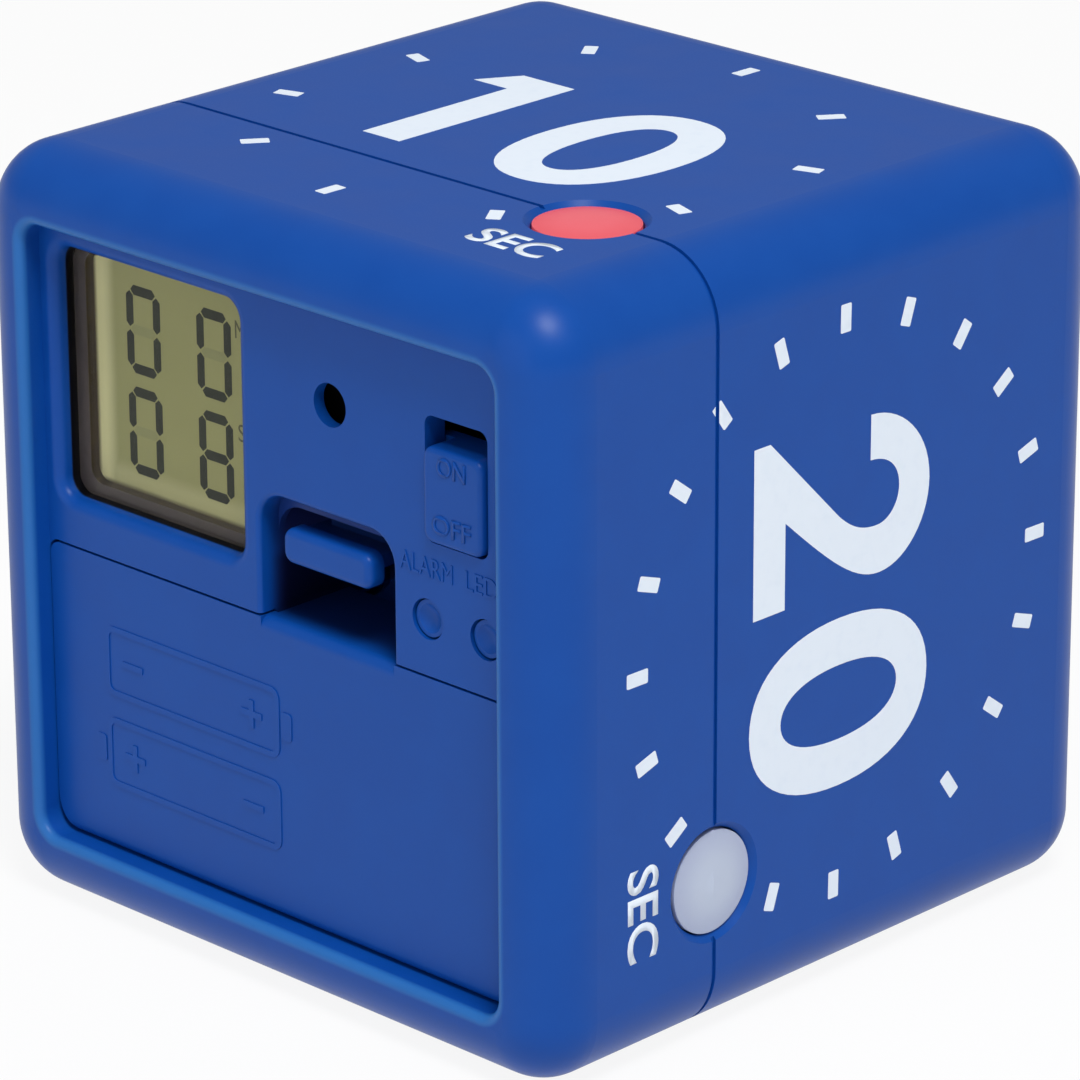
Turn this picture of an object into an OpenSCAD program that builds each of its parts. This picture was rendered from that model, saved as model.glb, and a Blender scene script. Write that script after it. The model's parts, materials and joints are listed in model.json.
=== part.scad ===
// Digital cube timer: a 60 mm cube that starts counting when it is turned.
// Millimetres. X runs right along the display face, Y runs into the cube, Z is up.
// The origin is the centre of the bottom face, and the display face looks along -Y.

/* [Case] */
// Edge length of the cube
cube_w = 60; // [56:1:70]
// Rounding of the front and back edges
edge_r = 4.8; // [3:0.1:6]
// Extra rounding of the four edges that run front to back
corner_extra = 0.8; // [0.2:0.1:2]
// Wall thickness of both case halves
wall = 2; // [1.6:0.1:2.4]
// Distance from the front rim to the seam between the case halves
seam_depth = 17; // [15:0.25:19]
// Width of the shadow groove along the seam
seam_groove_w = 0.4; // [0.2:0.05:0.8]
// Depth of the shadow groove along the seam
seam_groove_d = 0.25; // [0.15:0.05:0.5]
// Length of the lip that locates the case halves
lip_len = 2; // [1:0.25:3]

/* [Front panel] */
// Depth of the panel below the rim
recess_depth = 2; // [1.5:0.1:2.5]
// Corner radius of the sunk panel
recess_r = 1.8; // [1:0.1:4]
// Rounding of the inner edge of the rim
rim_round = 0.6; // [0.2:0.1:1]
// Thickness of the panel
panel_t = 2; // [1.6:0.1:2.4]
// Diameter of the sound hole
sound_hole_d = 3.3; // [2:0.1:5]
// Plain panel between the display opening and the sound hole
sound_side = 7.15; // [6.5:0.05:8]
// Middle of the sound hole above the finger notch
sound_lift = 8.4; // [7.8:0.1:9]
// Diameter of the buzzer behind the sound hole
buzzer_d = 11.5; // [9:0.5:12]

/* [Display] */
// Width of the display opening at the panel, rounding included
window_w = 21.6; // [18:0.1:23]
// Height of the display opening at the panel, rounding included
window_h = 21.6; // [19:0.1:24]
// Corner radius of the display opening at the panel
window_r = 2.4; // [1.6:0.1:4]
// Rounding of the panel's edge round the display opening
window_round = 0.9; // [0.4:0.1:1.1]
// Plain panel left of the display opening
window_side = 0.55; // [0.5:0.05:1.6]
// Plain panel above the display opening
window_drop = 1.05; // [0.6:0.05:1.6]
// Plain panel between the door's edge and the display opening
window_lift = 2.7; // [2.4:0.1:4]
// Thickness of the clear window
lens_t = 1.5; // [1.3:0.05:2]
// Depth of the clear window below the panel
lens_drop = 1.6; // [0.6:0.05:1.7]
// Rounding of the clear window's front edge
lens_round = 0.3; // [0.15:0.05:0.5]
// Gap between the clear window and its opening
lens_gap = 0.3; // [0.1:0.01:0.5]
// Thickness of the dark gasket between the clear window and the cell
gasket_t = 0.8; // [0.6:0.05:1.2]
// How far the gasket shows inside the opening
gasket_lap = 0.8; // [0.4:0.05:0.9]
// Thickness of the liquid crystal cell
lcd_t = 2.4; // [1.8:0.1:2.7]
// Overlap of the cell behind the opening on each side
lcd_lap = 0.45; // [0.4:0.05:0.75]
// Wall of the frame that holds the cell
frame_wall = 0.5; // [0.5:0.05:0.75]
// Height of the rubber connector strips
strip_h = 4.3; // [3.6:0.05:4.6]

/* [Battery bay] */
// Diameter of one AAA cell
cell_d = 10.5; // [10:0.05:11.5]
// Length of one AAA cell with its nub
cell_len = 44.5; // [40:0.1:46]
// Diameter of the nub
nub_d = 3.8; // [3:0.1:4.5]
// Length of the nub
nub_len = 1; // [0.8:0.1:1.4]
// Wall of the battery bay
bay_wall = 1.2; // [0.8:0.1:1.4]
// Room for the contacts at each end of the cells
contact_room = 2.75; // [2.4:0.05:3]
// Thickness of the contact plates
contact_t = 0.4; // [0.3:0.05:0.6]
// How much smaller than the cells the contact plates are, on each side
contact_trim = 1.25; // [1.1:0.05:2]
// Wire of the contact springs
spring_wire = 0.5; // [0.4:0.05:0.6]
// Diameter of each contact spring at its tip
spring_tip_d = 3.4; // [3:0.1:4]
// Turns of each contact spring
spring_turns = 2.5; // [2:0.25:3]

/* [Battery door] */
// Thickness of the door
door_t = 1.5; // [1.3:0.1:1.7]
// Rounding of the door's lower corners
door_foot_r = 2.8; // [2.4:0.1:4.5]
// Rounding of the door's edge below the finger notch
door_nose_r = 0.9; // [0.4:0.1:1]
// Width of each hook at the door's lower edge
hook_w = 6; // [4:0.5:9]
// Distance of the hooks from the middle
hook_x = 15; // [10:0.5:18]
// Thickness of the latch spring
latch_t = 1; // [0.8:0.05:1.2]
// Width of the finger notch above the latch
notch_w = 13.9; // [12:0.1:15.5]
// Height of the finger notch above the door's edge
notch_h = 9.8; // [8.6:0.1:10.6]
// Corner radius of the finger notch
notch_r = 2.4; // [1:0.1:4]
// Rounding of the panel's edge round the finger notch
notch_round = 0.4; // [0.2:0.05:0.8]
// Plain panel between the display opening and the notch
notch_side = 1.1; // [1:0.05:2]
// Width of the latch's finger bar
bar_w = 9.1; // [7:0.1:10.2]
// Height of the latch's finger bar
bar_h = 2.7; // [2.2:0.1:3]
// Rounding of the finger bar's front edges
bar_round = 0.6; // [0.3:0.05:0.8]
// Overlap of the latch tooth with its catch
catch_lap = 0.9; // [0.5:0.1:1.1]

/* [Controls] */
// Width of the switch slot
slot_w = 6.2; // [5:0.1:6.8]
// Height of the switch slot
slot_h = 9.5; // [8.5:0.1:10.5]
// Plain panel right of the switch slot
slot_side = 2.35; // [2:0.05:3]
// Lower end of the switch slot above the buttons
slot_lift = 5.95; // [5.6:0.05:6.6]
// Travel of the switch knob
switch_travel = 2; // [1.5:0.1:2.4]
// How far the switch knob stands out of the panel
knob_proud = 0.5; // [0.1:0.05:0.8]
// Rounding of the switch knob's front edge
knob_round = 0.45; // [0.2:0.05:0.6]
// Diameter of the button heads
button_d = 2.8; // [2.4:0.1:3.2]
// Depth of the button heads below the panel
button_sink = 0.25; // [0.05:0.05:0.4]
// Plain panel between the notch and the alarm button
button_side = 1.95; // [1.6:0.05:3]
// Spacing of the two buttons
button_pitch = 5.8; // [5:0.05:6.5]
// Plain panel right of the lamp button
button_end = 1.1; // [0.6:0.05:1.8]
// Buttons above the door's edge
button_lift = 4.3; // [3.8:0.1:4.8]
// Travel of the buttons
button_travel = 0.4; // [0.2:0.05:0.5]

/* [Lamps] */
// Diameter of each lamp lens
lamp_d = 7.9; // [6:0.1:8.9]
// Lamp lens right of the face's middle
lamp_side = 17.4; // [16:0.1:19]
// Depth of the lens edge below the face
lamp_sink = 0.3; // [0.3:0.05:0.6]
// Height of the lens dome
lamp_dome = 0.25; // [0.1:0.05:0.28]
// Bevel round each lamp hole
lamp_bevel = 0.5; // [0.2:0.05:0.8]
// Thickness of the flange that keeps each lens in
lamp_flange_t = 1; // [0.7:0.05:1.2]

/* [Boards] */
// Thickness of both circuit boards
board_t = 1.6; // [1:0.1:1.8]
// Gap between the main board and the lamp lenses
board_clear = 0.5; // [0.3:0.05:1]
// Gap between the battery bay and the main board
board_gap = 2.4; // [2.1:0.1:3]
// Spacing of the pins between the boards
pin_pitch = 2.54; // [2:0.01:2.6]
// Number of pins between the boards
pin_count = 8; // [4:1:8]
// Ball of the tilt sensor
tilt_ball_d = 3.4; // [2.8:0.1:3.8]
// Radius of the tilt sensor's ball track
tilt_track_r = 3.9; // [3.4:0.1:4.6]

/* [Fasteners] */
// Diameter of the case screws
case_screw_d = 2.6; // [2.2:0.1:3]
// Length of the case screws under the head
case_screw_len = 14; // [10:0.5:20]
// Diameter of the small board screws
board_screw_d = 1.6; // [1.4:0.1:1.8]
// Length of the small board screws behind their board
board_screw_len = 6; // [4:0.5:7]

/* [Clearances] */
// Gap round the door and between parts that only meet
fit = 0.1; // [0.05:0.01:0.15]
// Gap round moving knobs and buttons
slide_fit = 0.15; // [0.1:0.01:0.2]
// Radial fit of turning parts and screws
turn_fit = 0.05; // [0.03:0.01:0.08]
// Room left round the door's hooks
hook_fit = 0.3; // [0.2:0.05:0.5]
// Gap between the two cells, and between cell and door
cell_gap = 0.15; // [0.1:0.01:0.3]

/* [Hidden] */
$fn = 64;
// How far cutting shapes run past the faces they open, and how far joined shapes sink in
over = 1;
sunk = 0.5;

// Case
half = cube_w/2;
mid_z = half;
corner_r = edge_r + corner_extra;
y_front = -half;
y_back = half;
y_seam = y_front + seam_depth;
y_panel = y_front + recess_depth;
y_inner = y_panel + panel_t;

// The panel is as large as what it holds: door and display in height, all its openings in width
bay_lift = 1.15;
button_hole_d = button_d + 2*slide_fit;
door_h = bay_lift + fit + 2*cell_d + 2*cell_gap + latch_t;
recess_h = door_h + 2*fit + window_lift + window_h + window_drop;
recess_w = window_side + window_w + notch_side + notch_w + button_side + button_hole_d
  + button_pitch + button_end;
z_low = mid_z - recess_h/2;
z_high = mid_z + recess_h/2;
x_left = -recess_w/2;
x_right = recess_w/2;

// Battery bay, built up from the cells
y_ledge = y_panel + door_t + fit;
ledge_t = 1.2;
ledge_lip = 0.6;
cell_y = y_panel + door_t + 2*cell_gap + cell_d/2;
bay_z0 = z_low + bay_lift;
cell_z_low = bay_z0 + fit + cell_d/2;
cell_z_high = cell_z_low + cell_d + cell_gap;
cell_mid_z = (cell_z_low + cell_z_high)/2;
bay_z1 = cell_z_high + cell_d/2 + cell_gap;
bay_top = bay_z1 + bay_wall;
bay_back_gap = 0.2;
y_bay = cell_y + cell_d/2 + bay_back_gap;
y_bay_back = y_bay + bay_wall;
bay_x = cell_len/2 + contact_room;
mouth_gap = 0.75;
mouth_x = cell_len/2 + mouth_gap;
contact_w = cell_d - 2*contact_trim;
tail_off = 3.4;
tail_w = 2;
bridge_w = 3;
bump_flare = 2;
spring_len = contact_room - contact_t - spring_wire - fit;
spring_root_r = contact_w/2 - spring_wire/2 - fit;
spring_tip_r = spring_tip_d/2;
spring_steps = 14;
spring_sides = 8;

// Battery door and latch
door_w = recess_w - 2*fit;
door_corner_r = 1;
door_top = z_low + door_h;
door_edge = door_top + 2*fit;
door_inner = y_panel + door_t;
bead_r = door_t/2;
bead_y = y_panel + bead_r;
bead_z = z_low + fit + bead_r;
door_rib_w = 1.6;
door_rib_d = 1.2;
door_rib_len = 40;
hook_root = 0.7;
hook_depth = 1.9;
hook_drop = 1.1;
hook_rise = 0.9;
notch_x0 = x_left + window_side + window_w + notch_side;
notch_x1 = notch_x0 + notch_w;
notch_x = (notch_x0 + notch_x1)/2;
notch_top = door_top + notch_h;
notch_sink = 0.6;
pocket_wall = 0.8;
pocket_gap = 0.4;
bar_drop = 2.2;
bar_depth = 1.5;
bar_corner_r = 0.9;
bar_top = notch_top - bar_drop;
catch_rise = 0.9;
catch_t = 1.1;
catch_z = bar_top + catch_rise;
catch_y1 = y_inner + catch_t;
tooth_gap = 0.5;
tooth_t = 1.5;
tooth_tip = 0.5;
leg_drop = 0.4;
leg_top = bar_top - leg_drop;
bend_r = (leg_top - bay_z1)/2;
bend_z = bay_z1 + bend_r;
bend_y = y_bay + hook_fit - bend_r;
pocket_y = bend_y + bend_r + pocket_gap;
latch_w = bar_w - 1;
latch_pivot_z = leg_top - latch_t/2;

// Display stack
throat_w = window_w - 2*window_round;
throat_h = window_h - 2*window_round;
throat_r = window_r - window_round;
window_x = x_left + window_side + window_w/2;
window_z = z_high - window_drop - window_h/2;
lens_w = throat_w - 2*lens_gap;
lens_h = throat_h - 2*lens_gap;
lens_corner_r = throat_r - lens_gap;
lens_flange_r = 0.5;
lens_y = y_panel + lens_drop;
lens_back = lens_y + lens_t;
lens_edge = min(lens_round, 0.9*(y_inner - lens_y));
gasket_r = 1.2;
lcd_y = lens_back + gasket_t;
lcd_back = lcd_y + lcd_t;
lcd_w = throat_w + 2*lcd_lap;
lcd_h = throat_h + 2*lcd_lap;
frame_w = lcd_w + fit + 2*frame_wall;
frame_h = lcd_h + fit + 2*frame_wall;
strip_w = 1.8;
strip_edge = 0.2;

// Boards, and the pins that join them just above the bay
panel_board_y = lcd_back + strip_h;
panel_board_back = panel_board_y + board_t;
panel_board_side = 1.45;
panel_board_x0 = window_x - frame_w/2 - hook_fit;
panel_board_x1 = x_right + panel_board_side;
board_corner_r = 2.5;
panel_board_z0 = bay_top + 2*fit;
board_y = y_bay_back + board_gap;
board_back = board_y + board_t;
main_board_w = cube_w - 2*(wall + lamp_flange_t + board_clear);
board_edge = main_board_w/2;
pin_w = 0.64;
pin_stub = 0.8;
pin_hole_d = 1.5*pin_w;
pin_z = panel_board_z0 + pin_hole_d;
blob_r = 11;
blob_h = 2.4;
blob_x = -10;
blob_rise = 12;
blob_z = mid_z + blob_rise;
crystal_d = 3;
crystal_len = 8;
crystal_x = 5;
crystal_rise = 14;
crystal_z = mid_z + crystal_rise;
crystal_foot = [1.2, 2];
smd_size = [1.2, 0.8, 2];
smd_pitch = 3;
smd_x = [5, -21];
smd_rise = 6;
smd_rows = [[smd_x[0], mid_z + smd_rise], [smd_x[1], mid_z - smd_rise]];
smd_count = 5;
buzzer_gap = 1.4;
buzzer_port = 2.2;

// Controls
sound_x = window_x + window_w/2 + sound_side + sound_hole_d/2;
sound_z = notch_top + sound_lift;
sound_wall = 1;
sound_back = 1.2;
slot_r = 0.8;
slot_x = x_right - slot_side - slot_w/2;
button_z = door_edge + button_lift;
slot_z = button_z + slot_lift + slot_h/2;
knob_w = slot_w - 2*slide_fit;
knob_h = slot_h - switch_travel - 2*slide_fit;
knob_z = slot_z - switch_travel/2;
knob_r = 0.9;
knob_front = y_panel - knob_proud;
knob_flange_y = y_inner + slide_fit;
knob_flange_t = 1;
knob_flange_side = 0.8;
lever_w = 1.6;
lever_h = 2;
lever_socket = 0.6;
lever_floor = 1.2;
switch_can_t = 3.6;
switch_can_w = 4.4;
switch_can_h = 9;
switch_can_floor = 1;
alarm_button_x = notch_x1 + button_side + button_hole_d/2;
led_button_x = alarm_button_x + button_pitch;
button_front = y_panel + button_sink;
button_flange_y = y_inner + slide_fit;
button_flange_t = 0.9;
button_flange_d = button_d + 1.3;
button_stem_d = 2;
dish_lip = 0.3;
dish_r = 1.6;
dish_edge = button_d/2 - dish_lip;
tact_t = 3.4;
tact_w = 3.6;
tact_y = panel_board_y - tact_t;
tact_floor = 0.8;
plunger_d = 1.6;
plunger_out = 1.2;
plunger_in = 1.5;

// Posts of the panel board: one beside the buzzer, one above the right button
post_edge = 1.25;
post_side = 1.8;
post_buzzer = [5.8, 6.4];
panel_post_d = 2*board_screw_d;
panel_post_a = [sound_x - post_buzzer.x, sound_z + post_buzzer.y];
panel_post_b = [panel_board_x1 - post_side, button_z + tact_w/2 + panel_post_d/2 + hook_fit];
panel_board_z1 = max(window_z + frame_h/2 + fit, panel_post_a.y + post_edge);

// Lamps
lamp_gap = 0.15;
lamp_hole_d = lamp_d + 2*lamp_gap;
lamp_flange_d = lamp_d + 2;
led_size = [3.8, 2, 1.2];
led_edge = 0.2;

// Tilt sensor
tilt_drop = 5.4;
tilt_z = panel_board_z0 - tilt_drop;
tilt_wall = 1;
tilt_floor = 0.9;
tilt_top = 0.3;
tilt_lid_t = 1;
tilt_outer_r = tilt_track_r + tilt_ball_d/2 + tilt_wall;

// Fasteners
case_screw_x = cell_len/2 - 2.25;
case_head_h = 1.9;
case_head_d = 2*case_screw_d - 0.2;
case_head_y = y_bay + fit;
case_boss_d = case_screw_d + 4;
head_gap = 0.3;
screw_slot_w = 0.7;
screw_slot_share = 0.7;
case_slot_depth = 0.9;
board_head_d = 2*board_screw_d + 0.2;
board_head_h = 1.2;
board_slot_depth = 0.6;
board_screw_x = board_edge - 4.5;
board_screw_z = mid_z + board_edge - 6.5;
board_post_d = board_screw_d + 3.4;
panel_screw_depth = 4;
rib_t = 1.4;
rib_in = 10;

// Snap tongues along the top of the seam
snap_x = [-14, 7];
snap_w = 8;
snap_t = 1.2;
snap_root = 2.5;
snap_reach = 8.2;
snap_tooth = 2.4;
snap_lap = 0.6;
snap_gap = 0.3;

// Helpers: a flat outline in X and Z pushed from y0 back to y1
module slab(y0, y1) {
  translate([0, y1, 0])
    rotate([90, 0, 0])
      linear_extrude(y1 - y0)
        children();
}

// A flat outline in Y and Z pushed from x0 to x1
module across(x0, x1) {
  translate([x0, 0, 0])
    rotate([90, 0, 90])
      linear_extrude(x1 - x0)
        children();
}

// A round bar along Y from y0 back to y1
module rod(x, z, d, y0, y1) {
  translate([x, y1, z])
    rotate([90, 0, 0])
      cylinder(d = d, h = y1 - y0);
}

// A round bar along X from x0 to x1
module axle(y, z, d, x0, x1) {
  translate([x0, y, z])
    rotate([0, 90, 0])
      cylinder(d = d, h = x1 - x0);
}

module block(x0, x1, y0, y1, z0, z1) {
  translate([x0, y0, z0])
    cube([x1 - x0, y1 - y0, z1 - z0]);
}

module quarter_disc(r) {
  intersection() {
    circle(r = r);
    square(r);
  }
}

module rounded_rect(w, h, r) {
  square([w - 2*r, h], center = true);
  square([w, h - 2*r], center = true);
  for (sx = [-1, 1], sz = [-1, 1])
    translate([sx*(w/2 - r), sz*(h/2 - r)])
      circle(r = r);
}

// Sets a profile round a rounded outline: straight along its sides, turned at its corners
module round_outline(w, h, r) {
  for (turn = [0:3]) {
    out = (turn % 2 == 0 ? w : h)/2 - r;
    along = (turn % 2 == 0 ? h : w)/2 - r;
    rotate([0, 0, 90*turn])
      translate([out, along, 0]) {
        rotate([90, 0, 0])
          linear_extrude(2*along)
            children();
        rotate_extrude(angle = 90)
          children();
      }
  }
}

// A plate as thick as its edge rounding: full outline at 0, rounded off at edge
module end_cap(w, h, corner, edge) {
  translate([corner - w/2, corner - h/2, 0])
    cube([w - 2*corner, h - 2*corner, edge]);
  round_outline(w, h, corner)
    union() {
      square([corner - edge, edge]);
      translate([corner - edge, 0])
        quarter_disc(edge);
    }
}

// Rounds over the edge of an opening in a face at 0
module flare(w, h, corner, edge) {
  round_outline(w, h, corner)
    translate([corner/2, -edge])
      difference() {
        square([corner/2 + edge, edge + over]);
        translate([corner/2 + edge, 0])
          circle(r = edge);
      }
}

// Turns a shape drawn facing up so that it faces out of the display face
module facing_front(x, y, z) {
  translate([x, y, z])
    rotate([90, 0, 0])
      children();
}

module case_outline(inset) {
  translate([0, mid_z])
    rounded_rect(cube_w - 2*inset, cube_w - 2*inset, corner_r - inset);
}

// Places children of the top face on one of the four faces round the Y axis
module on_face(turn) {
  translate([0, 0, mid_z])
    rotate([0, 90*turn, 0])
      translate([0, 0, -mid_z])
        children();
}

module lamp_hole() {
  translate([lamp_side, y_seam, cube_w - wall - over])
    cylinder(d = lamp_hole_d, h = wall + 2*over);
  translate([lamp_side, y_seam, cube_w - lamp_bevel])
    cylinder(d1 = lamp_hole_d, d2 = lamp_hole_d + 2*lamp_bevel, h = lamp_bevel);
}

// Case halves
module front_case() {
  color("#2f5ca8")
    difference() {
      union() {
        difference() {
          front_body();
          front_cuts();
        }
        front_inside();
      }
      front_holes();
    }
}

module front_body() {
  facing_front(0, y_front + edge_r, mid_z)
    end_cap(cube_w, cube_w, corner_r, edge_r);
  slab(y_front + edge_r, y_seam - seam_groove_w/2)
    case_outline(0);
  slab(y_seam - seam_groove_w/2, y_seam)
    case_outline(seam_groove_d);
}

module front_cuts() {
  slab(y_inner, y_seam + over)
    case_outline(wall);
  slab(y_front - over, y_panel)
    translate([0, mid_z])
      rounded_rect(recess_w, recess_h, recess_r);
  facing_front(0, y_front, mid_z)
    flare(recess_w, recess_h, recess_r, rim_round);
  slab(y_panel - over, y_inner + over)
    door_opening();
}

// The door fills the lower panel: the panel's own corners below, smaller ones above
module door_opening() {
  r = door_corner_r;
  foot = recess_r;
  translate([x_left, z_low + foot])
    square([recess_w, door_edge - r - z_low - foot]);
  translate([x_left + r, door_edge - 2*r])
    square([recess_w - 2*r, 2*r]);
  translate([x_left + foot, z_low])
    square([recess_w - 2*foot, 2*foot]);
  for (side = [-1, 1]) {
    translate([side*(x_right - r), door_edge - r])
      circle(r = r);
    translate([side*(x_right - foot), z_low + foot])
      circle(r = foot);
  }
}

module front_inside() {
  // Locating lip
  difference() {
    slab(y_seam - over, y_seam + lip_len)
      case_outline((wall + fit)/2);
    slab(y_seam - 2*over, y_seam + lip_len + over)
      case_outline(wall);
  }
  // Battery bay with a ledge behind the door's edges
  difference() {
    block(-bay_x - bay_wall, bay_x + bay_wall, y_ledge, y_bay_back, z_low - ledge_lip, bay_top);
    block(-bay_x, bay_x, y_ledge + ledge_t, y_bay, bay_z0, bay_z1);
    block(-mouth_x, mouth_x, y_ledge - over, y_bay - over, bay_z0 + ledge_lip, bay_z1);
  }
  // Pocket of the latch
  block(notch_x0 - pocket_wall, notch_x1 + pocket_wall, y_ledge, pocket_y + pocket_wall,
    bay_z1, notch_top + pocket_wall);
  // Bosses that clamp the main board
  for (side = [-1, 1])
    rod(side*case_screw_x, cell_mid_z, case_head_d + 2*pocket_wall, y_bay + sunk, board_y);
  // Posts of the panel board
  for (post = [panel_post_a, panel_post_b])
    rod(post.x, post.y, panel_post_d, y_inner - sunk, panel_board_y);
  for (x = snap_x)
    front_snap(x);
}

module front_snap(x) {
  top = cube_w - wall;
  tip = y_seam + snap_reach;
  block(x - snap_w/2, x + snap_w/2, y_seam - snap_root, y_seam - sunk, top - snap_t, top + sunk);
  block(x - snap_w/2, x + snap_w/2, y_seam - snap_root, tip, top - snap_t, top - fit);
  across(x - snap_w/2, x + snap_w/2)
    polygon([[tip - snap_tooth, top - snap_lap], [tip - snap_tooth, top + snap_lap], [tip, top - snap_lap]]);
}

module front_holes() {
  // Display opening with its rounded edge
  slab(y_panel - sunk, y_inner + sunk)
    translate([window_x, window_z])
      rounded_rect(throat_w, throat_h, throat_r);
  facing_front(window_x, y_panel, window_z)
    flare(throat_w, throat_h, throat_r, window_round);
  // Sound hole, wider behind its thin wall
  rod(sound_x, sound_z, sound_hole_d, y_panel - over, y_inner + over);
  rod(sound_x, sound_z, sound_hole_d + 2*sound_back, y_panel + sound_wall, y_inner + over);
  // Switch slot
  slab(y_panel - over, y_inner + sunk)
    translate([slot_x, slot_z])
      rounded_rect(slot_w, slot_h, slot_r);
  // Button holes
  for (x = [alarm_button_x, led_button_x])
    rod(x, button_z, button_hole_d, y_panel - over, y_inner + sunk);
  // Finger notch and the latch's pocket, leaving the catch bar
  slab(y_panel - over, y_inner)
    notch_outline(notch_top);
  slab(y_inner - sunk, catch_y1)
    notch_outline(catch_z);
  slab(catch_y1 - sunk, pocket_y)
    notch_outline(notch_top);
  notch_flare();
  // Slots for the door's hooks
  for (side = [-1, 1])
    hook_slot(side*hook_x);
  // Case screws with sunk heads
  for (side = [-1, 1]) {
    rod(side*case_screw_x, cell_mid_z, case_head_d + head_gap, y_bay - sunk, case_head_y + case_head_h);
    rod(side*case_screw_x, cell_mid_z, case_screw_d + 2*turn_fit, y_bay, board_y + over);
  }
  // Pilot holes of the panel board's posts
  for (post = [panel_post_a, panel_post_b])
    rod(post.x, post.y, board_screw_d + 2*turn_fit, y_inner + over, panel_board_y + over);
  // Slots for the tails of the contacts
  for (side = [-1, 1], z = [cell_z_low, cell_z_high])
    contact_slot(side, z);
  // Half seats of the lamp lenses, with room for their flanges
  for (turn = [0:3])
    on_face(turn) {
      lamp_hole();
      translate([lamp_side, y_seam, cube_w - wall - lamp_flange_t - fit])
        cylinder(d = lamp_flange_d + 2*fit, h = lamp_flange_t + fit);
    }
}

module notch_outline(top) {
  r = min(notch_r, top - door_top - over);
  low = bay_z1 - notch_sink;
  translate([notch_x0, low])
    square([notch_w, top - r - low]);
  translate([notch_x0 + r, top - r - sunk])
    square([notch_w - 2*r, r + sunk]);
  for (x = [notch_x0 + r, notch_x1 - r])
    translate([x, top - r])
      circle(r = r);
}

// Its lower side falls in the door's opening, where there is nothing to round
module notch_flare() {
  low = door_top - 2*notch_r;
  facing_front(notch_x, y_panel, (notch_top + low)/2)
    flare(notch_w, notch_top - low, notch_r, notch_round);
}

module hook_slot(x) {
  block(x - hook_w/2 - hook_fit, x + hook_w/2 + hook_fit, y_ledge - fit, door_inner + hook_depth + fit + over,
    z_low - hook_drop - 2*hook_fit, bay_z0 + hook_rise + 2*hook_fit);
}

module contact_slot(side, z) {
  tail = tail_z(z);
  x = side*(bay_x - contact_t/2);
  block(x - contact_t/2 - fit, x + contact_t/2 + fit, y_bay - sunk, y_bay_back + sunk,
    tail - tail_w/2 - fit, tail + tail_w/2 + fit);
}

function tail_z(z) = z + (z < cell_mid_z ? tail_off : -tail_off);

module rear_case() {
  color("#2f5ca8")
    difference() {
      union() {
        difference() {
          rear_body();
          slab(y_seam - over, y_back - wall)
            case_outline(wall);
        }
        rear_inside();
      }
      rear_holes();
    }
}

module rear_body() {
  translate([0, y_back - edge_r, mid_z])
    rotate([-90, 0, 0])
      end_cap(cube_w, cube_w, corner_r, edge_r);
  slab(y_seam + seam_groove_w/2, y_back - edge_r)
    case_outline(0);
  slab(y_seam, y_seam + seam_groove_w/2)
    case_outline(seam_groove_d);
}

module rear_inside() {
  for (side = [-1, 1]) {
    // Long bosses of the case screws with a rib to the bottom wall
    rod(side*case_screw_x, cell_mid_z, case_boss_d, board_back, y_back - wall + sunk);
    rear_rib(side*case_screw_x, cell_mid_z, wall/2, edge_r);
    // Posts of the main board with a rib to the top wall
    rod(side*board_screw_x, board_screw_z, board_post_d, board_back, y_back - wall + sunk);
    rear_rib(side*board_screw_x, board_screw_z, cube_w - wall/2, cube_w - edge_r);
  }
}

// A rib from a boss at z to the side wall, kept inside the rounded back edge
module rear_rib(x, z, z_wall, z_edge) {
  back = y_back - wall + sunk;
  across(x - rib_t/2, x + rib_t/2)
    polygon([[board_back + rib_in, z], [back, z], [back, z_edge], [y_back - edge_r, z_wall],
      [board_back + 2*rib_in, z_wall]]);
}

module rear_holes() {
  // Rebate for the lip
  slab(y_seam - over, y_seam + lip_len + fit)
    case_outline((wall - fit)/2);
  for (side = [-1, 1]) {
    rod(side*case_screw_x, cell_mid_z, case_screw_d + 2*turn_fit, board_back - over,
      case_head_y + case_head_h + case_screw_len + over);
    rod(side*board_screw_x, board_screw_z, board_screw_d + 2*turn_fit, board_back - over,
      board_back + board_screw_len + over);
  }
  // Pockets for the snap tongues
  tip = y_seam + snap_reach;
  for (x = snap_x)
    block(x - snap_w/2 - snap_gap, x + snap_w/2 + snap_gap, tip - snap_tooth - snap_gap, tip + snap_gap,
      cube_w - wall - sunk, cube_w - wall + snap_lap + snap_gap);
  for (turn = [0:3])
    on_face(turn)
      lamp_hole();
}

// Battery door with its hooks and the fixed half of the latch spring
module battery_door() {
  color("#2c559c")
    difference() {
      union() {
        door_plate();
        for (side = [-1, 1])
          door_hook(side*hook_x);
        latch_leg();
      }
      axle(bend_y, latch_pivot_z, latch_t + 2*slide_fit, notch_x - latch_w/2 - over,
        notch_x + latch_w/2 + over);
      door_nose();
      for (turn = [0, 1])
        mirror([turn, 0, 0])
          door_foot();
    }
}

module door_plate() {
  r = door_corner_r;
  slab(y_panel, door_inner)
    union() {
      translate([-door_w/2, bead_z])
        square([door_w, door_top - bead_z - r]);
      translate([r - door_w/2, door_top - 2*r])
        square([door_w - 2*r, 2*r]);
      for (side = [-1, 1])
        translate([side*(door_w/2 - r), door_top - r])
          circle(r = r);
    }
  axle(bead_y, bead_z, 2*bead_r, -door_w/2, door_w/2);
  // Stiffening rib in the hollow between the cells
  block(-door_rib_len/2, door_rib_len/2, door_inner - sunk, door_inner + door_rib_d,
    cell_mid_z - door_rib_w/2, cell_mid_z + door_rib_w/2);
}

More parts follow.
